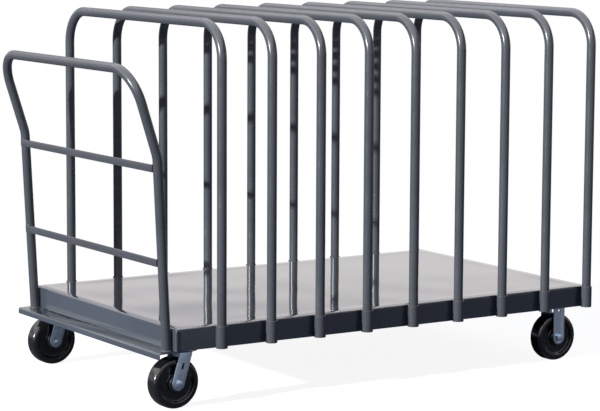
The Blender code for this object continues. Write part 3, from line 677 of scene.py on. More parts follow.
# %% [markdown]
# ## Bent tube and folded plate
#
# A tube bender and a folding press leave straight runs and true arcs, and the wall goes with
# them. So one flat section, the cut end of the tube or plate, is pulled along each run with
# extrude and swung round each bend with spin. Both operators leave the faces they started from
# inside the wall. They are deleted each time but the first, where they close the end.

# %% Pull and swing faces
def pull(bm, faces, vector, keep_old=False):
    """Extrude faces by a vector, and hand back the new end's faces and vertices."""
    result = bmesh.ops.extrude_face_region(bm, geom=faces)
    verts = fresh(result["geom"], bmesh.types.BMVert)
    bmesh.ops.translate(bm, verts=verts, vec=vector)
    if not keep_old:
        bmesh.ops.delete(bm, geom=faces, context="FACES_ONLY")
    return fresh(result["geom"], bmesh.types.BMFace), verts


def swing(bm, faces, centre, axis, angle, steps):
    """Spin faces about an axis without making copies, and hand back the new end's faces."""
    turn = {"cent": centre, "axis": axis, "angle": angle, "steps": steps}
    result = bmesh.ops.spin(bm, geom=faces, use_duplicate=False, **turn)
    bmesh.ops.delete(bm, geom=faces, context="FACES_ONLY")
    return fresh(result["geom_last"], bmesh.types.BMFace)


def aim(bm, verts, heading, place):
    """Turn a flat outline from straight up to a heading, and set it in its place."""
    turn = Vector((0, 0, 1)).rotation_difference(heading).to_matrix()
    bmesh.ops.rotate(bm, verts=verts, cent=(0, 0, 0), matrix=turn)
    bmesh.ops.translate(bm, verts=verts, vec=place)


def pulled_through(bm, section, corners, radii, step):
    """Pull the faces of a section through corner points, with a bend at each inner corner."""
    here = corners[0]
    for i in range(1, len(corners)):
        heading = (corners[i] - corners[i - 1]).normalized()
        last = i == len(corners) - 1
        trim = 0.0
        if not last:
            onward = (corners[i + 1] - corners[i]).normalized()
            turn = acos(heading.dot(onward))
            trim = radii[i - 1] * tan(turn / 2.0)
        run_end = corners[i] - heading * trim
        section = pull(bm, section, run_end - here, keep_old=i == 1)[0]
        if last:
            return bm
        inward = (onward - heading * heading.dot(onward)).normalized()
        centre = run_end + inward * radii[i - 1]
        axis = heading.cross(onward).normalized()
        section = swing(bm, section, centre, axis, turn, max(3, round(turn / step)))
        here = corners[i] + onward * trim


# %% Bend a tube
TUBE_RADIUS = 0.5625 * INCH
TUBE_WALL = 2.1 * MM
TUBE_SIDES = 36
BEND_STEP = radians(5.0)


def bent_tube(corners, radii):
    """A hollow tube through corner points, with one bend radius for each inner corner."""
    bm = bmesh.new()
    corners = [Vector(corner) for corner in corners]
    heading = (corners[1] - corners[0]).normalized()
    for radius in (TUBE_RADIUS, TUBE_RADIUS - TUBE_WALL):
        bmesh.ops.create_circle(bm, cap_ends=False, segments=TUBE_SIDES, radius=radius)
    bmesh.ops.bridge_loops(bm, edges=bm.edges)
    aim(bm, bm.verts, heading, corners[0])
    return pulled_through(bm, list(bm.faces), corners, radii, BEND_STEP)


# %% [markdown]
# ## Hoops
#
# Nine hoops stand in a row across the deck, each one tube with two bends. The solids that they
# dress are prisms with twelve flats, and a box is measured to the flats. The round tube's radius
# is known, so its middle line lies a flat's distance inside the box.

# %% Hoops
SOLID_SIDES = 12
SOLID_FLAT = TUBE_RADIUS * cos(pi / SOLID_SIDES)
HOOP_BEND = 4.0 * INCH
HOOP_COUNT = 9

for number in range(1, HOOP_COUNT + 1):
    name = "hoop_" + str(number)
    low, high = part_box(name)
    x = middle(name).x
    side = high[1] - SOLID_FLAT
    top = high[2] - SOLID_FLAT
    foot = low[2]
    corners = [(x, -side, foot), (x, -side, top), (x, side, top), (x, side, foot)]
    tube = bent_tube(corners, [HOOP_BEND, HOOP_BEND])
    piece(tube, name + "_tube", enamel_tube, name + "_body", [name])

# %% [markdown]
# ## Sockets
#
# Each hoop leg drops into a short piece of larger tube with a floor. It is a turned shape, so
# half of its section is drawn once and spun. The rim has a small chamfer that keeps the leg from
# catching, and the lower edge is eased, because it is cut with a saw and dressed.

# %% Turn a profile
SAME_POINT = 0.001 * MM


def turned(profile, steps, centre, axis="Z"):
    """Spin a profile of (radius, height) points about its axis, then set it in place."""
    bm = bmesh.new()
    points = [bm.verts.new((radius, 0, height)) for radius, height in profile]
    pairs = zip(points, points[1:] + points[:1])
    edges = [bm.edges.new(pair) for pair in pairs]
    bmesh.ops.spin(
        bm,
        geom=points + edges,
        cent=(0, 0, 0),
        axis=(0, 0, 1),
        angle=2.0 * pi,
        steps=steps,
        use_merge=True,
    )
    bmesh.ops.remove_doubles(bm, verts=bm.verts, dist=SAME_POINT)
    if axis == "Y":
        turn_about(bm, bm.verts, pi / 2.0, "X")
    return moved(bm, centre)


# %% Sockets along both sides
SOCKET_PLAY = 0.5 * MM
SOCKET_WALL = 2.7 * MM
SOCKET_FLOOR = 3.2 * MM
RIM_CHAMFER = 0.7 * MM
SOCKET_BORE = TUBE_RADIUS + SOCKET_PLAY
SOCKET_RADIUS = SOCKET_BORE + SOCKET_WALL
SOCKET_STEPS = 40


def socket_profile(height):
    """Half the section of a socket, from its floor's middle out, up and back down the bore."""
    return [
        (0.0, 0.0),
        (SOCKET_RADIUS - RIM_CHAMFER, 0.0),
        (SOCKET_RADIUS, RIM_CHAMFER),
        (SOCKET_RADIUS, height - RIM_CHAMFER),
        (SOCKET_RADIUS - RIM_CHAMFER, height),
        (SOCKET_BORE + RIM_CHAMFER, height),
        (SOCKET_BORE, height - RIM_CHAMFER),
        (SOCKET_BORE, SOCKET_FLOOR),
        (0.0, SOCKET_FLOOR),
    ]


for side in ("near", "far"):
    for number in range(1, HOOP_COUNT + 1):
        name = "socket_" + side + "_" + str(number)
        low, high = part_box(name)
        foot = middle(name)
        foot.z = low[2]
        socket = turned(socket_profile(high[2] - low[2]), SOCKET_STEPS, foot)
        piece(socket, name + "_tube", enamel_tube, "chassis", [name])
print("socket radius in mm", SOCKET_RADIUS / MM)

# %% [markdown]
# ## The push handle
#
# One tube goes from foot to foot. The legs lean out by about three degrees, bend further out at
# the knees and meet in the push bar. Both feet are cut level, so they stand flat over the bumper:
# the tube is bent a little too long, a plane cuts it, and the two cut rings are bridged closed.

# %% Handle tube
KNEE_OUT = 1.7 * INCH
KNEE_HEIGHT = 19.6 * INCH
TOP_OUT = 4.9 * INCH
TOP_HEIGHT = 29.5 * INCH
KNEE_BEND = 4.0 * INCH
CORNER_BEND = 4.0 * INCH
FOOT_GAP = 0.6 * MM

deck_low, deck_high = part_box("deck_pan")
END_FACE = deck_low[0]
DECK_TOP = deck_high[2]
SKIRT_BOTTOM = deck_low[2]
SKIRT_DEPTH = DECK_TOP - SKIRT_BOTTOM
HANDLE_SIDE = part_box("handle_tube")[1][1] - SOLID_FLAT
FOOT_OUT = SOLID_FLAT + FOOT_GAP
HANDLE_LEAN = atan2(KNEE_OUT - FOOT_OUT, KNEE_HEIGHT + SKIRT_DEPTH)

spare_out = FOOT_OUT - TUBE_RADIUS * tan(HANDLE_LEAN)
leg = [
    (END_FACE - spare_out, SKIRT_BOTTOM - TUBE_RADIUS),
    (END_FACE - KNEE_OUT, DECK_TOP + KNEE_HEIGHT),
    (END_FACE - TOP_OUT, DECK_TOP + TOP_HEIGHT),
]
corners = [(x, -HANDLE_SIDE, z) for x, z in leg] + [(x, HANDLE_SIDE, z) for x, z in reversed(leg)]
tube = bent_tube(corners, [KNEE_BEND, CORNER_BEND, CORNER_BEND, KNEE_BEND])
foot_plane = {"plane_co": (0, 0, SKIRT_BOTTOM), "plane_no": (0, 0, -1), "clear_outer": True}
cut = bmesh.ops.bisect_plane(tube, geom=all_of(tube), **foot_plane)
rim = fresh(cut["geom_cut"], bmesh.types.BMEdge)
for side in (-1, 1):
    bmesh.ops.bridge_loops(tube, edges=[edge for edge in rim if edge.verts[0].co.y * side > 0])
piece(tube, "push_handle", enamel_tube, "chassis", ["handle_tube"])
print("handle lean in degrees", round(degrees(HANDLE_LEAN), 2))

# %% [markdown]
# ## Channels and bumper
#
# Three channels run across under the deck, and the bumper is an angle under the end skirt. A
# press has folded each from a strip, so a plain rectangle is pulled along each flat and swung
# round each fold. That gives the inside and the outside of every fold their true radii.

# %% Fold a strip
FOLD_STEPS = 5
FOLD_STEP = pi / 2.0 / FOLD_STEPS


def folded_strip(corners, wall, length, fold_radius):
    """A strip of plate folded along a path in X and Z. It is `length` wide along Y."""
    bm = bmesh.new()
    corners = [Vector((x, 0, z)) for x, z in corners]
    heading = (corners[1] - corners[0]).normalized()
    across = heading.cross(Vector((0, 1, 0))) * wall / 2.0
    along = Vector((0, length / 2.0, 0))
    signs = ((-1, -1), (1, -1), (1, 1), (-1, 1))
    section = bm.faces.new([bm.verts.new(corners[0] + across * a + along * b) for a, b in signs])
    return pulled_through(bm, [section], corners, [fold_radius] * (len(corners) - 2), FOLD_STEP)


# %% Channels under the deck
CHANNEL_WALLS = {"bolster_swivel": 4.8 * MM, "bolster_rigid": 4.8 * MM, "deck_stiffener": 3.2 * MM}
CHANNEL_EASE = 0.5 * MM
CHANNEL_FOLD = 1.3

for name, wall in CHANNEL_WALLS.items():
    low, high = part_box(name)
    left = low[0] + wall / 2.0
    right = high[0] - wall / 2.0
    bottom = low[2] + wall / 2.0
    path = [(left, high[2]), (left, bottom), (right, bottom), (right, high[2])]
    channel = folded_strip(path, wall, high[1] - low[1], wall * CHANNEL_FOLD)
    ease_edges(channel, CHANNEL_EASE)
    piece(channel, name + "_channel", enamel_tube, "chassis", [name])
print("channels", len(CHANNEL_WALLS))

# %% Bumper
BUMPER_WALL = 3.4 * MM
BUMPER_EASE = 0.8 * MM
BUMPER_FOLD = 4.2 * MM

low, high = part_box("bumper")
lip = low[0] + BUMPER_WALL / 2.0
shelf = high[2] - BUMPER_WALL / 2.0
path = [(high[0], shelf), (lip, shelf), (lip, low[2])]
bumper = folded_strip(path, BUMPER_WALL, high[1] - low[1], BUMPER_FOLD)
ease_edges(bumper, BUMPER_EASE)
piece(bumper, "bumper_angle", enamel_bumper, "chassis", ["bumper"])
print("bumper reaches out in mm", round((END_FACE - low[0]) / MM, 1))

# %% [markdown]
# ## Crossbars
#
# Two flat bars are welded across the outer side of the handle's legs, and lean as the legs do. A
# bar of plain stock is a cube that is scaled, eased, turned and moved. The turn comes after the
# easing, because the size and the rounding are easiest to give while the bar lies square.

# %% Crossbars
CROSSBARS = ("handle_crossbar_lower", "handle_crossbar_upper")
BAR_WALL = 4.8 * MM
BAR_DEPTH = 0.875 * INCH
BAR_EASE = 0.9 * MM

for name in CROSSBARS:
    low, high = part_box(name)
    bar = ease_edges(block((BAR_WALL, high[1] - low[1], BAR_DEPTH)), BAR_EASE)
    turn_about(bar, bar.verts, -HANDLE_LEAN, "Y")
    piece(moved(bar, middle(name)), name + "_flat", enamel_tube, "chassis", [name])
print("crossbars", len(CROSSBARS))

# %% [markdown]
# ## The deck
#
# The deck is one sheet with its four skirts folded down. A sheet this large is never quite flat:
# the channels are welded under it, and it draws into low waves that only show in what it mirrors.
# So the top is cut into a grid, and each point of it sinks by a fraction of a millimetre of
# smooth noise, which dies away towards the folds. The wall is given last, with Solidify. The
# skirts' lower edges are marked sharp, or the shading would run from the face round the edge and
# darken it.

# %% Deck pan
DECK_SHEET = 2.7 * MM
DECK_FOLD = 4.0 * MM
DECK_CORNER = 4.4 * MM
DECK_STEPS = 5

deck_size = Vector(deck_high) - Vector(deck_low)
deck = moved(block(deck_size), middle("deck_pan"))
round_off(deck, upright_edges(deck, DECK_FOLD), DECK_CORNER, DECK_STEPS)
highest = max(vert.co.z for vert in deck.verts)
folds = [edge for edge in deck.edges if all(vert.co.z > highest - MM for vert in edge.verts)]
round_off(deck, folds, DECK_FOLD, DECK_STEPS)
lowest = min(vert.co.z for vert in deck.verts)
under = [face for face in deck.faces if all(vert.co.z < lowest + MM for vert in face.verts)]
bmesh.ops.delete(deck, geom=under, context="FACES_ONLY")
print("deck size in mm", [round(length / MM, 1) for length in deck_size])

# %% Waves in the sheet
WAVE_GRID = 28.0 * MM
WAVE_DEPTH = 0.9 * MM
WAVE_SIZE = 190.0 * MM
WAVE_MARGIN = 60.0 * MM
HAIR = 0.01 * MM


def wave_drop(point):
    """How far a point of the sheet sinks: smooth noise that dies away near the folds."""
    from_ends = min(point.x - deck_low[0], deck_high[0] - point.x)
    inset = min(from_ends, point.y - deck_low[1], deck_high[1] - point.y)
    share = max(0.0, min(1.0, (inset - DECK_FOLD) / WAVE_MARGIN))
    wave = noise.noise(point / WAVE_SIZE) * 0.5 + 0.5
    return WAVE_DEPTH * wave * share * share * (3.0 - 2.0 * share)


for axis in (0, 1):
    cuts = int(deck_size[axis] / WAVE_GRID)
    normal = Vector((0, 0, 0))
    normal[axis] = 1.0
    for i in range(1, cuts):
        plane = Vector(deck_low)
        plane[axis] += deck_size[axis] * i / cuts
        bmesh.ops.bisect_plane(deck, geom=all_of(deck), plane_co=plane, plane_no=normal)
for vert in deck.verts:
    if vert.co.z > highest - HAIR:
        vert.co.z -= wave_drop(vert.co)
deck_sheet = piece(deck, "deck_sheet", enamel_deck, "chassis", ["deck_pan"])
wall = deck_sheet.modifiers.new("wall", "SOLIDIFY")
wall.thickness = DECK_SHEET
wall.offset = -1.0
wall.use_even_offset = True
sheet = deck_sheet.data
for edge in sheet.edges:
    if all(sheet.vertices[i].co.z < lowest + HAIR for i in edge.vertices):
        edge.use_edge_sharp = True
print("deck faces", len(sheet.polygons))

# %% [markdown]
# ## Weld beads
#
# A weld is a row of small overlapping puddles. A short rope with eight sides is pulled along the
# joint, step by step, and every other ring is drawn in a little, which gives the ripple. The last
# ring of each bead is small, so both ends taper. A bead's middle stands a third of its radius off
# the face that it lies on.

# %% Lay a bead
BEAD_SIDES = 8
BEAD_STEP = 2.2 * MM
RIPPLE_SHARE = 0.82
TAPER_SHARE = 0.45
BEAD_OFF = 1.0 / 3.0


def lay_bead(bm, points, radius):
    """Pull a rippled rope through a list of points and close both ends."""
    heading = (points[1] - points[0]).normalized()
    small = radius * TAPER_SHARE
    made = bmesh.ops.create_circle(bm, cap_ends=True, segments=BEAD_SIDES, radius=small)
    aim(bm, made["verts"], heading, points[0])
    end = [made["verts"][0].link_faces[0]]
    width = TAPER_SHARE
    for i in range(1, len(points)):
        onward = (points[min(i + 1, len(points) - 1)] - points[i - 1]).normalized()
        wanted = 1.0 if i % 2 else RIPPLE_SHARE
        if i == len(points) - 1:
            wanted = TAPER_SHARE
        end, ring = pull(bm, end, points[i] - points[i - 1], keep_old=i == 1)
        to_middle = Matrix.Translation(-points[i])
        bmesh.ops.scale(bm, verts=ring, vec=(wanted / width,) * 3, space=to_middle)
        bend = heading.rotation_difference(onward).to_matrix()
        bmesh.ops.rotate(bm, verts=ring, cent=points[i], matrix=bend)
        heading = onward
        width = wanted


def lay_straight(bm, start, finish, radius):
    """A bead along a straight joint, with a point for each puddle."""
    start, finish = Vector(start), Vector(finish)
    count = max(3, int((finish - start).length / BEAD_STEP))
    lay_bead(bm, [start.lerp(finish, i / count) for i in range(count + 1)], radius)


def lay_round(bm, centre, ring_radius, from_angle, to_angle, radius):
    """A bead round the level foot of a tube."""
    count = max(4, int(abs(to_angle - from_angle) * ring_radius / BEAD_STEP))
    points = []
    for i in range(count + 1):
        angle = from_angle + (to_angle - from_angle) * i / count
        points.append(Vector(centre) + ring_radius * Vector((cos(angle), sin(angle), 0)))
    lay_bead(bm, points, radius)


# %% Beads at the sockets
SOCKET_BEAD = 2.4 * MM
BEAD_END_GAP = 5.0 * MM
SIDE_FACE = deck_high[1]

socket_out = middle("socket_far_1").y - SIDE_FACE - SOCKET_BEAD / 2.0
bead_ring = SOCKET_RADIUS + SOCKET_BEAD / 4.0
reach = bead_ring * sin(acos(socket_out / bead_ring))
ends = (SKIRT_BOTTOM + BEAD_END_GAP, DECK_TOP - DECK_FOLD - BEAD_END_GAP)
beads = bmesh.new()
for number in range(1, HOOP_COUNT + 1):
    x = middle("socket_near_" + str(number)).x
    for side in (-1, 1):
        for hand in (-1, 1):
            at_x = min(deck_high[0] - DECK_CORNER, x + hand * reach)
            at_x = max(deck_low[0] + DECK_CORNER, at_x)
            at_y = side * (SIDE_FACE + SOCKET_BEAD * BEAD_OFF)
            lay_straight(beads, (at_x, at_y, ends[0]), (at_x, at_y, ends[1]), SOCKET_BEAD)
piece(beads, "socket_welds", enamel_weld, "chassis")
print("socket beads", HOOP_COUNT * 4)

# %% Beads at the deck's corners, the handle's feet and the bars
CORNER_BEAD = 4.6 * MM
CORNER_BEAD_INSET = 2.6 * MM
FOOT_BEAD = 2.8 * MM
FOOT_BEAD_SIDE = TUBE_RADIUS * 0.72
FOOT_BEAD_ARC = (radians(40.0), radians(320.0))
BAR_BEAD = 2.2 * MM
BAR_BEAD_SIDE = TUBE_RADIUS * 0.55

beads = bmesh.new()
for x, way_x in ((deck_low[0], 1), (deck_high[0], -1)):
    for y, way_y in ((deck_low[1], 1), (deck_high[1], -1)):
        at = (x + way_x * CORNER_BEAD_INSET, y + way_y * CORNER_BEAD_INSET)
        lay_straight(beads, (*at, SKIRT_BOTTOM + MM), (*at, DECK_TOP - DECK_FOLD), CORNER_BEAD)
for side in (-1, 1):
    for hand in (-1, 1):
        at = (END_FACE - FOOT_BEAD * BEAD_OFF, side * HANDLE_SIDE + hand * FOOT_BEAD_SIDE)
        low_end = (*at, SKIRT_BOTTOM + FOOT_BEAD)
        lay_straight(beads, low_end, (*at, DECK_TOP - DECK_FOLD), FOOT_BEAD)
    foot = (END_FACE - FOOT_OUT, side * HANDLE_SIDE, SKIRT_BOTTOM)
    lay_round(beads, foot, TUBE_RADIUS, *FOOT_BEAD_ARC, FOOT_BEAD)
    for name in CROSSBARS:
        at = middle(name)
        bar_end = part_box(name)[1][1]
        for edge in (-1, 1):
            up = Vector((BAR_WALL, 0, edge * BAR_DEPTH / 2.0))
            up = Matrix.Rotation(-HANDLE_LEAN, 3, "Y") @ up
            start = Vector((at.x, side * (HANDLE_SIDE - BAR_BEAD_SIDE), at.z)) + up
            finish = Vector((at.x, side * bar_end, at.z)) + up
            lay_straight(beads, start, finish, BAR_BEAD)
piece(beads, "frame_welds", enamel_weld, "chassis")

# %% Stitches under the deck
STITCH_BEAD = 2.6 * MM
STITCH_LENGTH = 40.0 * MM
STITCH_PITCH = 180.0 * MM
STITCH_PLACES = (-2, -1, 0, 1, 2)

seams = [(deck_low[0] + DECK_SHEET, SKIRT_BOTTOM)]
for name in CHANNEL_WALLS:
    low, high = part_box(name)
    for x, way in ((low[0], -1), (high[0], 1)):
        seams.append((x + way * STITCH_BEAD * BEAD_OFF, high[2] - STITCH_BEAD * BEAD_OFF))
beads = bmesh.new()
for x, z in seams:
    for place in STITCH_PLACES:
        y = place * STITCH_PITCH
        start, finish = (x, y - STITCH_LENGTH / 2.0, z), (x, y + STITCH_LENGTH / 2.0, z)
        lay_straight(beads, start, finish, STITCH_BEAD)
piece(beads, "under_welds", enamel_weld, "chassis")
print("stitched seams", len(seams))

# %% [markdown]
# ## Wheels
#
# A moulded wheel is one turned shape: a hub, a thinner web, a rim, and a tread with rounded
# shoulders. The section is drawn once as a few corner points, the shoulder as an arc, and spun
# about the axle. The corners between hub, web and rim are then eased, because a mould never
# leaves them sharp.

# %% Wheels
CASTERS = ("swivel_near", "swivel_far", "rigid_near", "rigid_far")
WHEEL_RADIUS = 3.0 * INCH
WHEEL_WIDTH = 2.0 * INCH
HUB_STAND_OUT = 0.125 * INCH
HUB_WALL = 0.57 * INCH
WEB_RECESS = 0.38 * INCH
WEB_FLARE = 0.15 * INCH
RIM_DEPTH = 0.75 * INCH
SHOULDER = 0.5 * INCH
SHOULDER_STEPS = 8
AXLE_RADIUS = 6.35 * MM
BUSH_WALL = 3.6 * MM
HUB_BORE = AXLE_RADIUS + BUSH_WALL
HUB_RADIUS = HUB_BORE + HUB_WALL
WHEEL_STEPS = 72
MOULD_EASE = 1.6 * MM
MOULD_EASE_STEPS = 3


def wheel_profile():
    """The closed section of the wheel, from the bore on one side round to the other side."""
    rim_face = WHEEL_WIDTH / 2.0
    hub_face = rim_face + HUB_STAND_OUT
    web = rim_face - WEB_RECESS
    rim_inner = WHEEL_RADIUS - RIM_DEPTH
    side = [
        (HUB_BORE, hub_face),
        (HUB_RADIUS, hub_face),
        (HUB_RADIUS + WEB_FLARE, web),
        (rim_inner - WEB_FLARE, web),
        (rim_inner, rim_face),
    ]
    for i in range(SHOULDER_STEPS + 1):
        angle = pi / 2.0 * (1.0 - i / SHOULDER_STEPS)
        radius = WHEEL_RADIUS - SHOULDER * (1.0 - cos(angle))
        side.append((radius, rim_face - SHOULDER * (1.0 - sin(angle))))
    return side + [(radius, -height) for radius, height in reversed(side)]


for caster in CASTERS:
    wheel = turned(wheel_profile(), WHEEL_STEPS, middle(caster + "_wheel"), axis="Y")
    ease_edges(wheel, MOULD_EASE, MOULD_EASE_STEPS)
    piece(wheel, caster + "_tyre", resin, caster + "_wheel_body", [caster + "_wheel"])
    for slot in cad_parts[caster + "_bush"].material_slots:
        slot.material = bronze

# %% [markdown]
# ## Axles, bolts and nuts
#
# A hex head is a six-sided bar whose outer corners are turned off, so its face is a circle.
# Easing the edges of a plain hexagon gives that look at this size. Head, washer, shank and nut
# are separate closed shells in one piece, as they are one bolted-up thing.

# %% Rods and bars
HEX_SIDES = 6
HEX_EASE = 0.9 * MM
SHANK_STEPS = 24
SHANK_CHAMFER = 1.0 * MM


def add_rod(bm, radius, depth, sides, axis="Z"):
    """Add a rod with plain ends round the origin, and hand back its vertices."""
    ends = {"radius1": radius, "radius2": radius, "depth": depth}
    verts = bmesh.ops.create_cone(bm, cap_ends=True, segments=sides, **ends)["verts"]
    if axis == "Y":
        turn_about(bm, verts, pi / 2.0, "X")
    return verts


def add_bar(bm, centre, radius, depth, sides, ease, axis="Z"):
    """Add a bar with eased ends: round with many sides, hexagonal with six."""
    verts = add_rod(bm, radius, depth, sides, axis)
    bmesh.ops.translate(bm, verts=verts, vec=centre)
    faces = {face for vert in verts for face in vert.link_faces}
    ends = [face for face in faces if len(face.verts) == sides]
    round_off(bm, list({edge for face in ends for edge in face.edges}), ease, 2)


# %% Axles
AXLE_HEAD_RADIUS = 11.0 * MM
AXLE_HEAD_DEPTH = 7.9 * MM
AXLE_TIP = 3.5 * MM
AXLE_BURIED = AXLE_HEAD_DEPTH / 2.0

for caster in CASTERS:
    low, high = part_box(caster + "_axle")
    line = middle(caster + "_wheel")
    outer = -1 if line.y < 0 else 1
    hardware = bmesh.new()
    shank = middle(caster + "_axle") - Vector((0, outer * AXLE_BURIED / 2.0, 0))
    length = high[1] - low[1] - AXLE_BURIED
    add_bar(hardware, shank, AXLE_RADIUS, length, SHANK_STEPS, SHANK_CHAMFER, "Y")
    head_end = low[1] if outer < 0 else high[1]
    nut_end = (high[1] if outer < 0 else low[1]) + outer * AXLE_TIP
    for end, way in ((head_end, -outer), (nut_end, outer)):
        centre = Vector((line.x, end + way * AXLE_HEAD_DEPTH / 2.0, line.z))
        add_bar(hardware, centre, AXLE_HEAD_RADIUS, AXLE_HEAD_DEPTH, HEX_SIDES, HEX_EASE, "Y")
    body = caster + "_body" if caster.startswith("swivel") else "chassis"
    piece(hardware, caster + "_axle_bolt", zinc_turned, body, [caster + "_axle"])
print("axles", len(CASTERS))

# %% [markdown]
# Each caster hangs from a plate with round corners, and four bolts go up through it into the
# channel. The plate is a block with its upright edges rounded wide and the rest eased. The bolts
# stand at the corners of a rectangle, so two loops place them.

# %% Caster plates with their bolts
PLATE_LENGTH = 4.5 * INCH
PLATE_WIDTH = 4.0 * INCH
PLATE_WALL = 6.4 * MM
PLATE_CORNER = 0.4 * INCH
PLATE_CORNER_STEPS = 6
PLATE_EASE = 0.7 * MM
BOLT_EDGE = 0.5 * INCH
BOLT_RADIUS = 4.7 * MM
BOLT_HEAD_RADIUS = 8.2 * MM
BOLT_HEAD_DEPTH = 6.0 * MM
BOLT_TIP = 4.0 * MM
WASHER_WALL = 1.2 * MM
WASHER_RADIUS = BOLT_HEAD_RADIUS + 2.4 * MM
WASHER_EASE = 0.3 * MM
TOUCH = 0.3 * MM
PLATE_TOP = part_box("bolster_swivel")[0][2] - TOUCH
PLATE_LOW = PLATE_TOP - PLATE_WALL


def plate_and_bolts(centre):
    """A flat plate with round corners, four hex bolts up through it and nuts above the channel."""
    bm = block((PLATE_LENGTH, PLATE_WIDTH, PLATE_WALL))
    round_off(bm, upright_edges(bm, MM), PLATE_CORNER, PLATE_CORNER_STEPS)
    ease_edges(bm, PLATE_EASE)
    moved(bm, (centre.x, centre.y, PLATE_TOP - PLATE_WALL / 2.0))
    washer_low = PLATE_TOP + CHANNEL_WALLS["bolster_swivel"]
    nut_low = washer_low + WASHER_WALL
    tip = nut_low + BOLT_HEAD_DEPTH + BOLT_TIP - WASHER_WALL
    stack = (
        (PLATE_LOW - BOLT_HEAD_DEPTH, BOLT_HEAD_RADIUS, BOLT_HEAD_DEPTH, HEX_SIDES, HEX_EASE),
        (washer_low, WASHER_RADIUS, WASHER_WALL, SHANK_STEPS, WASHER_EASE),
        (nut_low, BOLT_HEAD_RADIUS, BOLT_HEAD_DEPTH, HEX_SIDES, HEX_EASE),
        (PLATE_LOW, BOLT_RADIUS, tip - PLATE_LOW, SHANK_STEPS, SHANK_CHAMFER),
    )
    for way_x in (-1, 1):
        for way_y in (-1, 1):
            x = centre.x + way_x * (PLATE_LENGTH / 2.0 - BOLT_EDGE)
            y = centre.y + way_y * (PLATE_WIDTH / 2.0 - BOLT_EDGE)
            for bottom, radius, depth, sides, ease in stack:
                add_bar(bm, Vector((x, y, bottom + depth / 2.0)), radius, depth, sides, ease)
    return bm


for side in ("near", "far"):
    name = "swivel_" + side + "_plate"
    bolted = plate_and_bolts(middle(name))
    piece(bolted, name + "_bolted", zinc_stamped, "chassis", [name])
print("plate top above the floor in mm", round(PLATE_TOP / MM, 1))

# %% [markdown]
# ## Swivel bearing
#
# Between plate and fork turns a ring of balls in two pressed cups. From outside it shows as a
# bright stepped ring with a dark slit, and a row of balls just inside the slit. The cups are
# turned, and the balls are small spheres set round a circle by a loop. The kingpin is the bolt
# that holds plate, bearing and fork together.

# %% Bearings and kingpins
RACE_RADIUS = 35.9 * MM
RACE_BORE = 14.9 * MM
RACE_LIP = 4.3 * MM
RACE_STEPS = 56
SLIT = 3.0 * MM
SLIT_DEPTH = 5.0 * MM
BALL_RADIUS = 2.4 * MM
BALL_COUNT = 24
BALL_FACETS = {"u_segments": 8, "v_segments": 6, "radius": BALL_RADIUS}
CUP_ROUND = 1.6 * MM
KINGPIN_RADIUS = 7.9 * MM
KINGPIN_HEAD = 13.0 * MM
KINGPIN_HEAD_DEPTH = 7.0 * MM
KINGPIN_BURIED = KINGPIN_HEAD_DEPTH / 2.0


def cup(bottom, top, outer):
    """The section of one pressed cup, with its outer corners rounded off."""
    return [
        (RACE_BORE, bottom),
        (outer - CUP_ROUND, bottom),
        (outer, bottom + CUP_ROUND),
        (outer, top - CUP_ROUND),
        (outer - CUP_ROUND, top),
        (RACE_BORE, top),
    ]


for side in ("near", "far"):
    name = "swivel_" + side + "_bearing"
    low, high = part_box(name)
    centre = middle(name)
    centre.z = 0.0
    slit_low = (low[2] + high[2]) / 2.0 - SLIT / 2.0
    slit_high = slit_low + SLIT
    bearing = turned(cup(low[2], slit_low, RACE_RADIUS), RACE_STEPS, centre)
    upper = cup(slit_high, high[2], RACE_RADIUS - RACE_LIP / 2.0)
    core = cup(slit_low - MM, slit_high + MM, RACE_RADIUS - SLIT_DEPTH)
    for section in (upper, core):
        absorb(bearing, turned(section, RACE_STEPS, centre))
    reach = RACE_RADIUS - SLIT_DEPTH + BALL_RADIUS / 2.0
    for i in range(BALL_COUNT):
        angle = 2.0 * pi * i / BALL_COUNT
        ball = bmesh.ops.create_uvsphere(bearing, **BALL_FACETS)
        at = centre + Vector((reach * cos(angle), reach * sin(angle), slit_low + SLIT / 2.0))
        bmesh.ops.translate(bearing, verts=ball["verts"], vec=at)
    piece(bearing, name + "_race", zinc_turned, "chassis", [name])
    name = "swivel_" + side + "_kingpin"
    low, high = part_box(name)
    pin = bmesh.new()
    shank = middle(name) + Vector((0, 0, KINGPIN_BURIED / 2.0))
    length = high[2] - low[2] - KINGPIN_BURIED
    add_bar(pin, shank, KINGPIN_RADIUS, length, SHANK_STEPS, SHANK_CHAMFER)
    head = middle(name)
    head.z = low[2] + KINGPIN_HEAD_DEPTH / 2.0
    add_bar(pin, head, KINGPIN_HEAD, KINGPIN_HEAD_DEPTH, HEX_SIDES, HEX_EASE)
    piece(pin, name + "_bolt", zinc_turned, "swivel_" + side + "_body", [name])
print("balls", BALL_COUNT, "kingpin length in mm", round((high[2] - low[2]) / MM, 1))

# %% [markdown]
# ## Forks
#
# A fork is a flat blank that a press has cut to shape and folded to a U. So one leg is drawn as a
# flat outline with a round end, given its thickness, and its top edge is swung over through the
# fold and pulled to the middle. A mirror makes the other half. Holes and slots are cut last, with
# a Boolean, because they go right through both legs.

# %% Cut holes
CUT_REACH = 200.0 * MM
CUT_SIDES = 24


def carved(bm, tools):
    """Cut tool solids out of a bmesh with an exact Boolean, and hand back the result."""
    holders = []
    for source in [bm] + tools:
        bmesh.ops.recalc_face_normals(source, faces=source.faces)
        holders.append(new_object("carving", to_mesh(source, "carving")))
    for tool in holders[1:]:
        step = holders[0].modifiers.new("cut", "BOOLEAN")
        step.operation = "DIFFERENCE"
        step.object = tool
    bpy.context.view_layer.update()
    seen = bpy.context.evaluated_depsgraph_get()
    shaped = bpy.data.meshes.new_from_object(holders[0].evaluated_get(seen))
    result = bmesh.new()
    result.from_mesh(shaped)
    for holder in holders:
        bpy.data.objects.remove(holder, do_unlink=True)
    return result


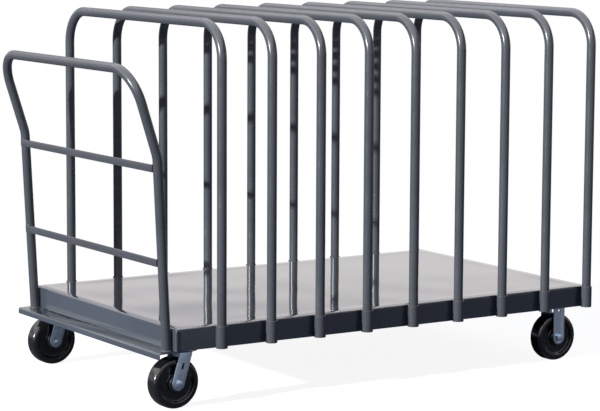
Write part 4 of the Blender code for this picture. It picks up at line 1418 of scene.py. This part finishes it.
def hole_tool(radius):
    """A round bar along Y to cut with, long enough to pass both legs of a fork."""
    bm = bmesh.new()
    add_rod(bm, radius, CUT_REACH, CUT_SIDES, "Y")
    return bm


# %% Fold a fork from its blank
HUB_LENGTH = WHEEL_WIDTH + 2.0 * HUB_STAND_OUT
FORK_PLAY = 1.2 * MM
FORK_GAP = HUB_LENGTH + FORK_PLAY
FORK_WALL = 4.8 * MM
FORK_FACE = FORK_GAP / 2.0 + FORK_WALL
FORK_FOLD = 3.0 * MM
FORK_EASE = 0.7 * MM
LEG_ARC_STEPS = 20


def leg_blank(bm, outline, outer, wall):
    """Add a flat leg: an outline in X and Z at one face, pulled through its wall along Y."""
    blank = bm.faces.new([bm.verts.new((x, outer, z)) for x, z in outline])
    pull(bm, [blank], (0, wall, 0), keep_old=True)


def fork_half(outline, fold_height):
    """One leg and half the bridge. The outline's last two points are the leg's top."""
    bm = bmesh.new()
    leg_blank(bm, outline, -FORK_FACE, FORK_WALL)
    top = max(bm.faces, key=lambda face: face.calc_center_median().z)
    fold_middle = (0, -FORK_FACE + FORK_WALL + FORK_FOLD, fold_height)
    bridge = swing(bm, [top], fold_middle, (1, 0, 0), -pi / 2.0, FOLD_STEPS)
    last = pull(bm, bridge, (0, -bridge[0].verts[0].co.y, 0))[0]
    bmesh.ops.delete(bm, geom=last, context="FACES_ONLY")
    return bm


def round_end(half_width, lean=0.0):
    """The lower half circle of a leg, round the axle and turned to the leg's lean."""
    angles = [pi - lean + pi * i / LEG_ARC_STEPS for i in range(LEG_ARC_STEPS + 1)]
    return [(half_width * cos(angle), half_width * sin(angle)) for angle in angles]


# %% Swivel forks
LEG_WIDTH = 1.6 * INCH
SWIVEL_LEAD = 1.75 * INCH
HEAD_SHIFT = 0.65 * INCH
SLOT_WIDTH = 6.4 * MM
SLOT_LENGTH = 18.0 * MM
SLOT_RISE = 2.0 * INCH
YOKE_RADIUS = 32.4 * MM
YOKE_WALL = 5.0 * MM
YOKE_EASE = 1.2 * MM
YOKE_STEPS = 48

yoke_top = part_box("swivel_near_fork")[1][2]
fold_rise = yoke_top - WHEEL_RADIUS - FORK_WALL - FORK_FOLD
rake = atan2(SWIVEL_LEAD - HEAD_SHIFT, yoke_top - WHEEL_RADIUS)
slant = fold_rise * tan(rake)
half_top = LEG_WIDTH / 2.0 / cos(rake)
raked_leg = round_end(LEG_WIDTH / 2.0, rake)
raked_leg += [(slant + half_top, fold_rise), (slant - half_top, fold_rise)]
disc_middle = Vector((SWIVEL_LEAD, 0, yoke_top - WHEEL_RADIUS - YOKE_WALL / 2.0))

for side in ("near", "far"):
    name = "swivel_" + side + "_fork"
    fork = fork_half(raked_leg, fold_rise)
    bmesh.ops.mirror(fork, geom=all_of(fork), axis="Y", merge_dist=HAIR)
    ease_edges(fork, FORK_EASE)
    slot_tool = block((SLOT_WIDTH, CUT_REACH, SLOT_LENGTH))
    turn_about(slot_tool, slot_tool.verts, rake, "Y")
    moved(slot_tool, (SLOT_RISE * tan(rake), 0, SLOT_RISE))
    fork = carved(fork, [slot_tool, hole_tool(AXLE_RADIUS + TOUCH)])
    disc = bmesh.new()
    add_bar(disc, disc_middle, YOKE_RADIUS, YOKE_WALL, YOKE_STEPS, YOKE_EASE)
    absorb(fork, disc)
    moved(fork, middle("swivel_" + side + "_wheel"))
    piece(fork, name + "_pressing", zinc_stamped, "swivel_" + side + "_body", [name])
print("fork rake in degrees", round(degrees(rake), 1))

# %% [markdown]
# A rigid fork has two separate legs, welded under its plate. Each leg hangs straight, opens in
# two hollow curves towards the plate, and has a pressed panel in its outer face for stiffness,
# which two insets make: one marks the panel out, and the second sinks it.

# %% Rigid forks
RIGID_LEG = 1.7 * INCH
RIGID_HEAD = 2.3 * INCH
RIGID_HEAD_DEPTH = 0.8 * INCH
FLARE_STEPS = 6
DIMPLE_RADIUS = 4.0 * MM
DIMPLE_DROP = 0.78 * INCH
RIB_INSET = 7.0 * MM
RIB_DEPTH = 0.9 * MM

leg_rise = PLATE_LOW - WHEEL_RADIUS
half_leg = RIGID_LEG / 2.0
flare = RIGID_HEAD / 2.0 - half_leg
curve = []
for i in range(FLARE_STEPS + 1):
    angle = pi / 2.0 * i / FLARE_STEPS
    drop = RIGID_HEAD_DEPTH * (1.0 - sin(angle))
    curve.append((half_leg + flare * (1.0 - cos(angle)), leg_rise - drop))
rigid_leg = round_end(half_leg) + curve + [(-x, z) for x, z in reversed(curve)]


def press_panel(bm, outer):
    """Sink a panel in the leg face that lies at one depth."""
    bm.faces.ensure_lookup_table()
    face = [face for face in bm.faces if abs(face.calc_center_median().y - outer) < HAIR][0]
    bmesh.ops.recalc_face_normals(bm, faces=bm.faces)
    for inset, sink in ((RIB_INSET, 0.0), (RIB_DEPTH, -RIB_DEPTH)):
        bmesh.ops.inset_region(
            bm, faces=[face], thickness=inset, depth=sink, use_even_offset=True
        )


for side in ("near", "far"):
    name = "rigid_" + side + "_frame"
    axle = middle("rigid_" + side + "_wheel")
    legs = bmesh.new()
    for way in (-1, 1):
        leg_blank(legs, rigid_leg, way * FORK_FACE, -way * FORK_WALL)
        press_panel(legs, way * FORK_FACE)
    ease_edges(legs, FORK_EASE)
    dimple = moved(hole_tool(DIMPLE_RADIUS), (0, 0, leg_rise - DIMPLE_DROP))
    legs = carved(legs, [dimple, hole_tool(AXLE_RADIUS + TOUCH)])
    reach = RIGID_HEAD / 2.0 - FORK_EASE
    for way in (-1, 1):
        y = way * FORK_FACE
        lay_straight(legs, (-reach, y, leg_rise), (reach, y, leg_rise), FOOT_BEAD)
    plate = plate_and_bolts(axle)
    absorb(plate, moved(legs, axle))
    piece(plate, name + "_welded", zinc_stamped, "chassis", [name])
print("rigid fork height in mm", round(leg_rise / MM, 1))
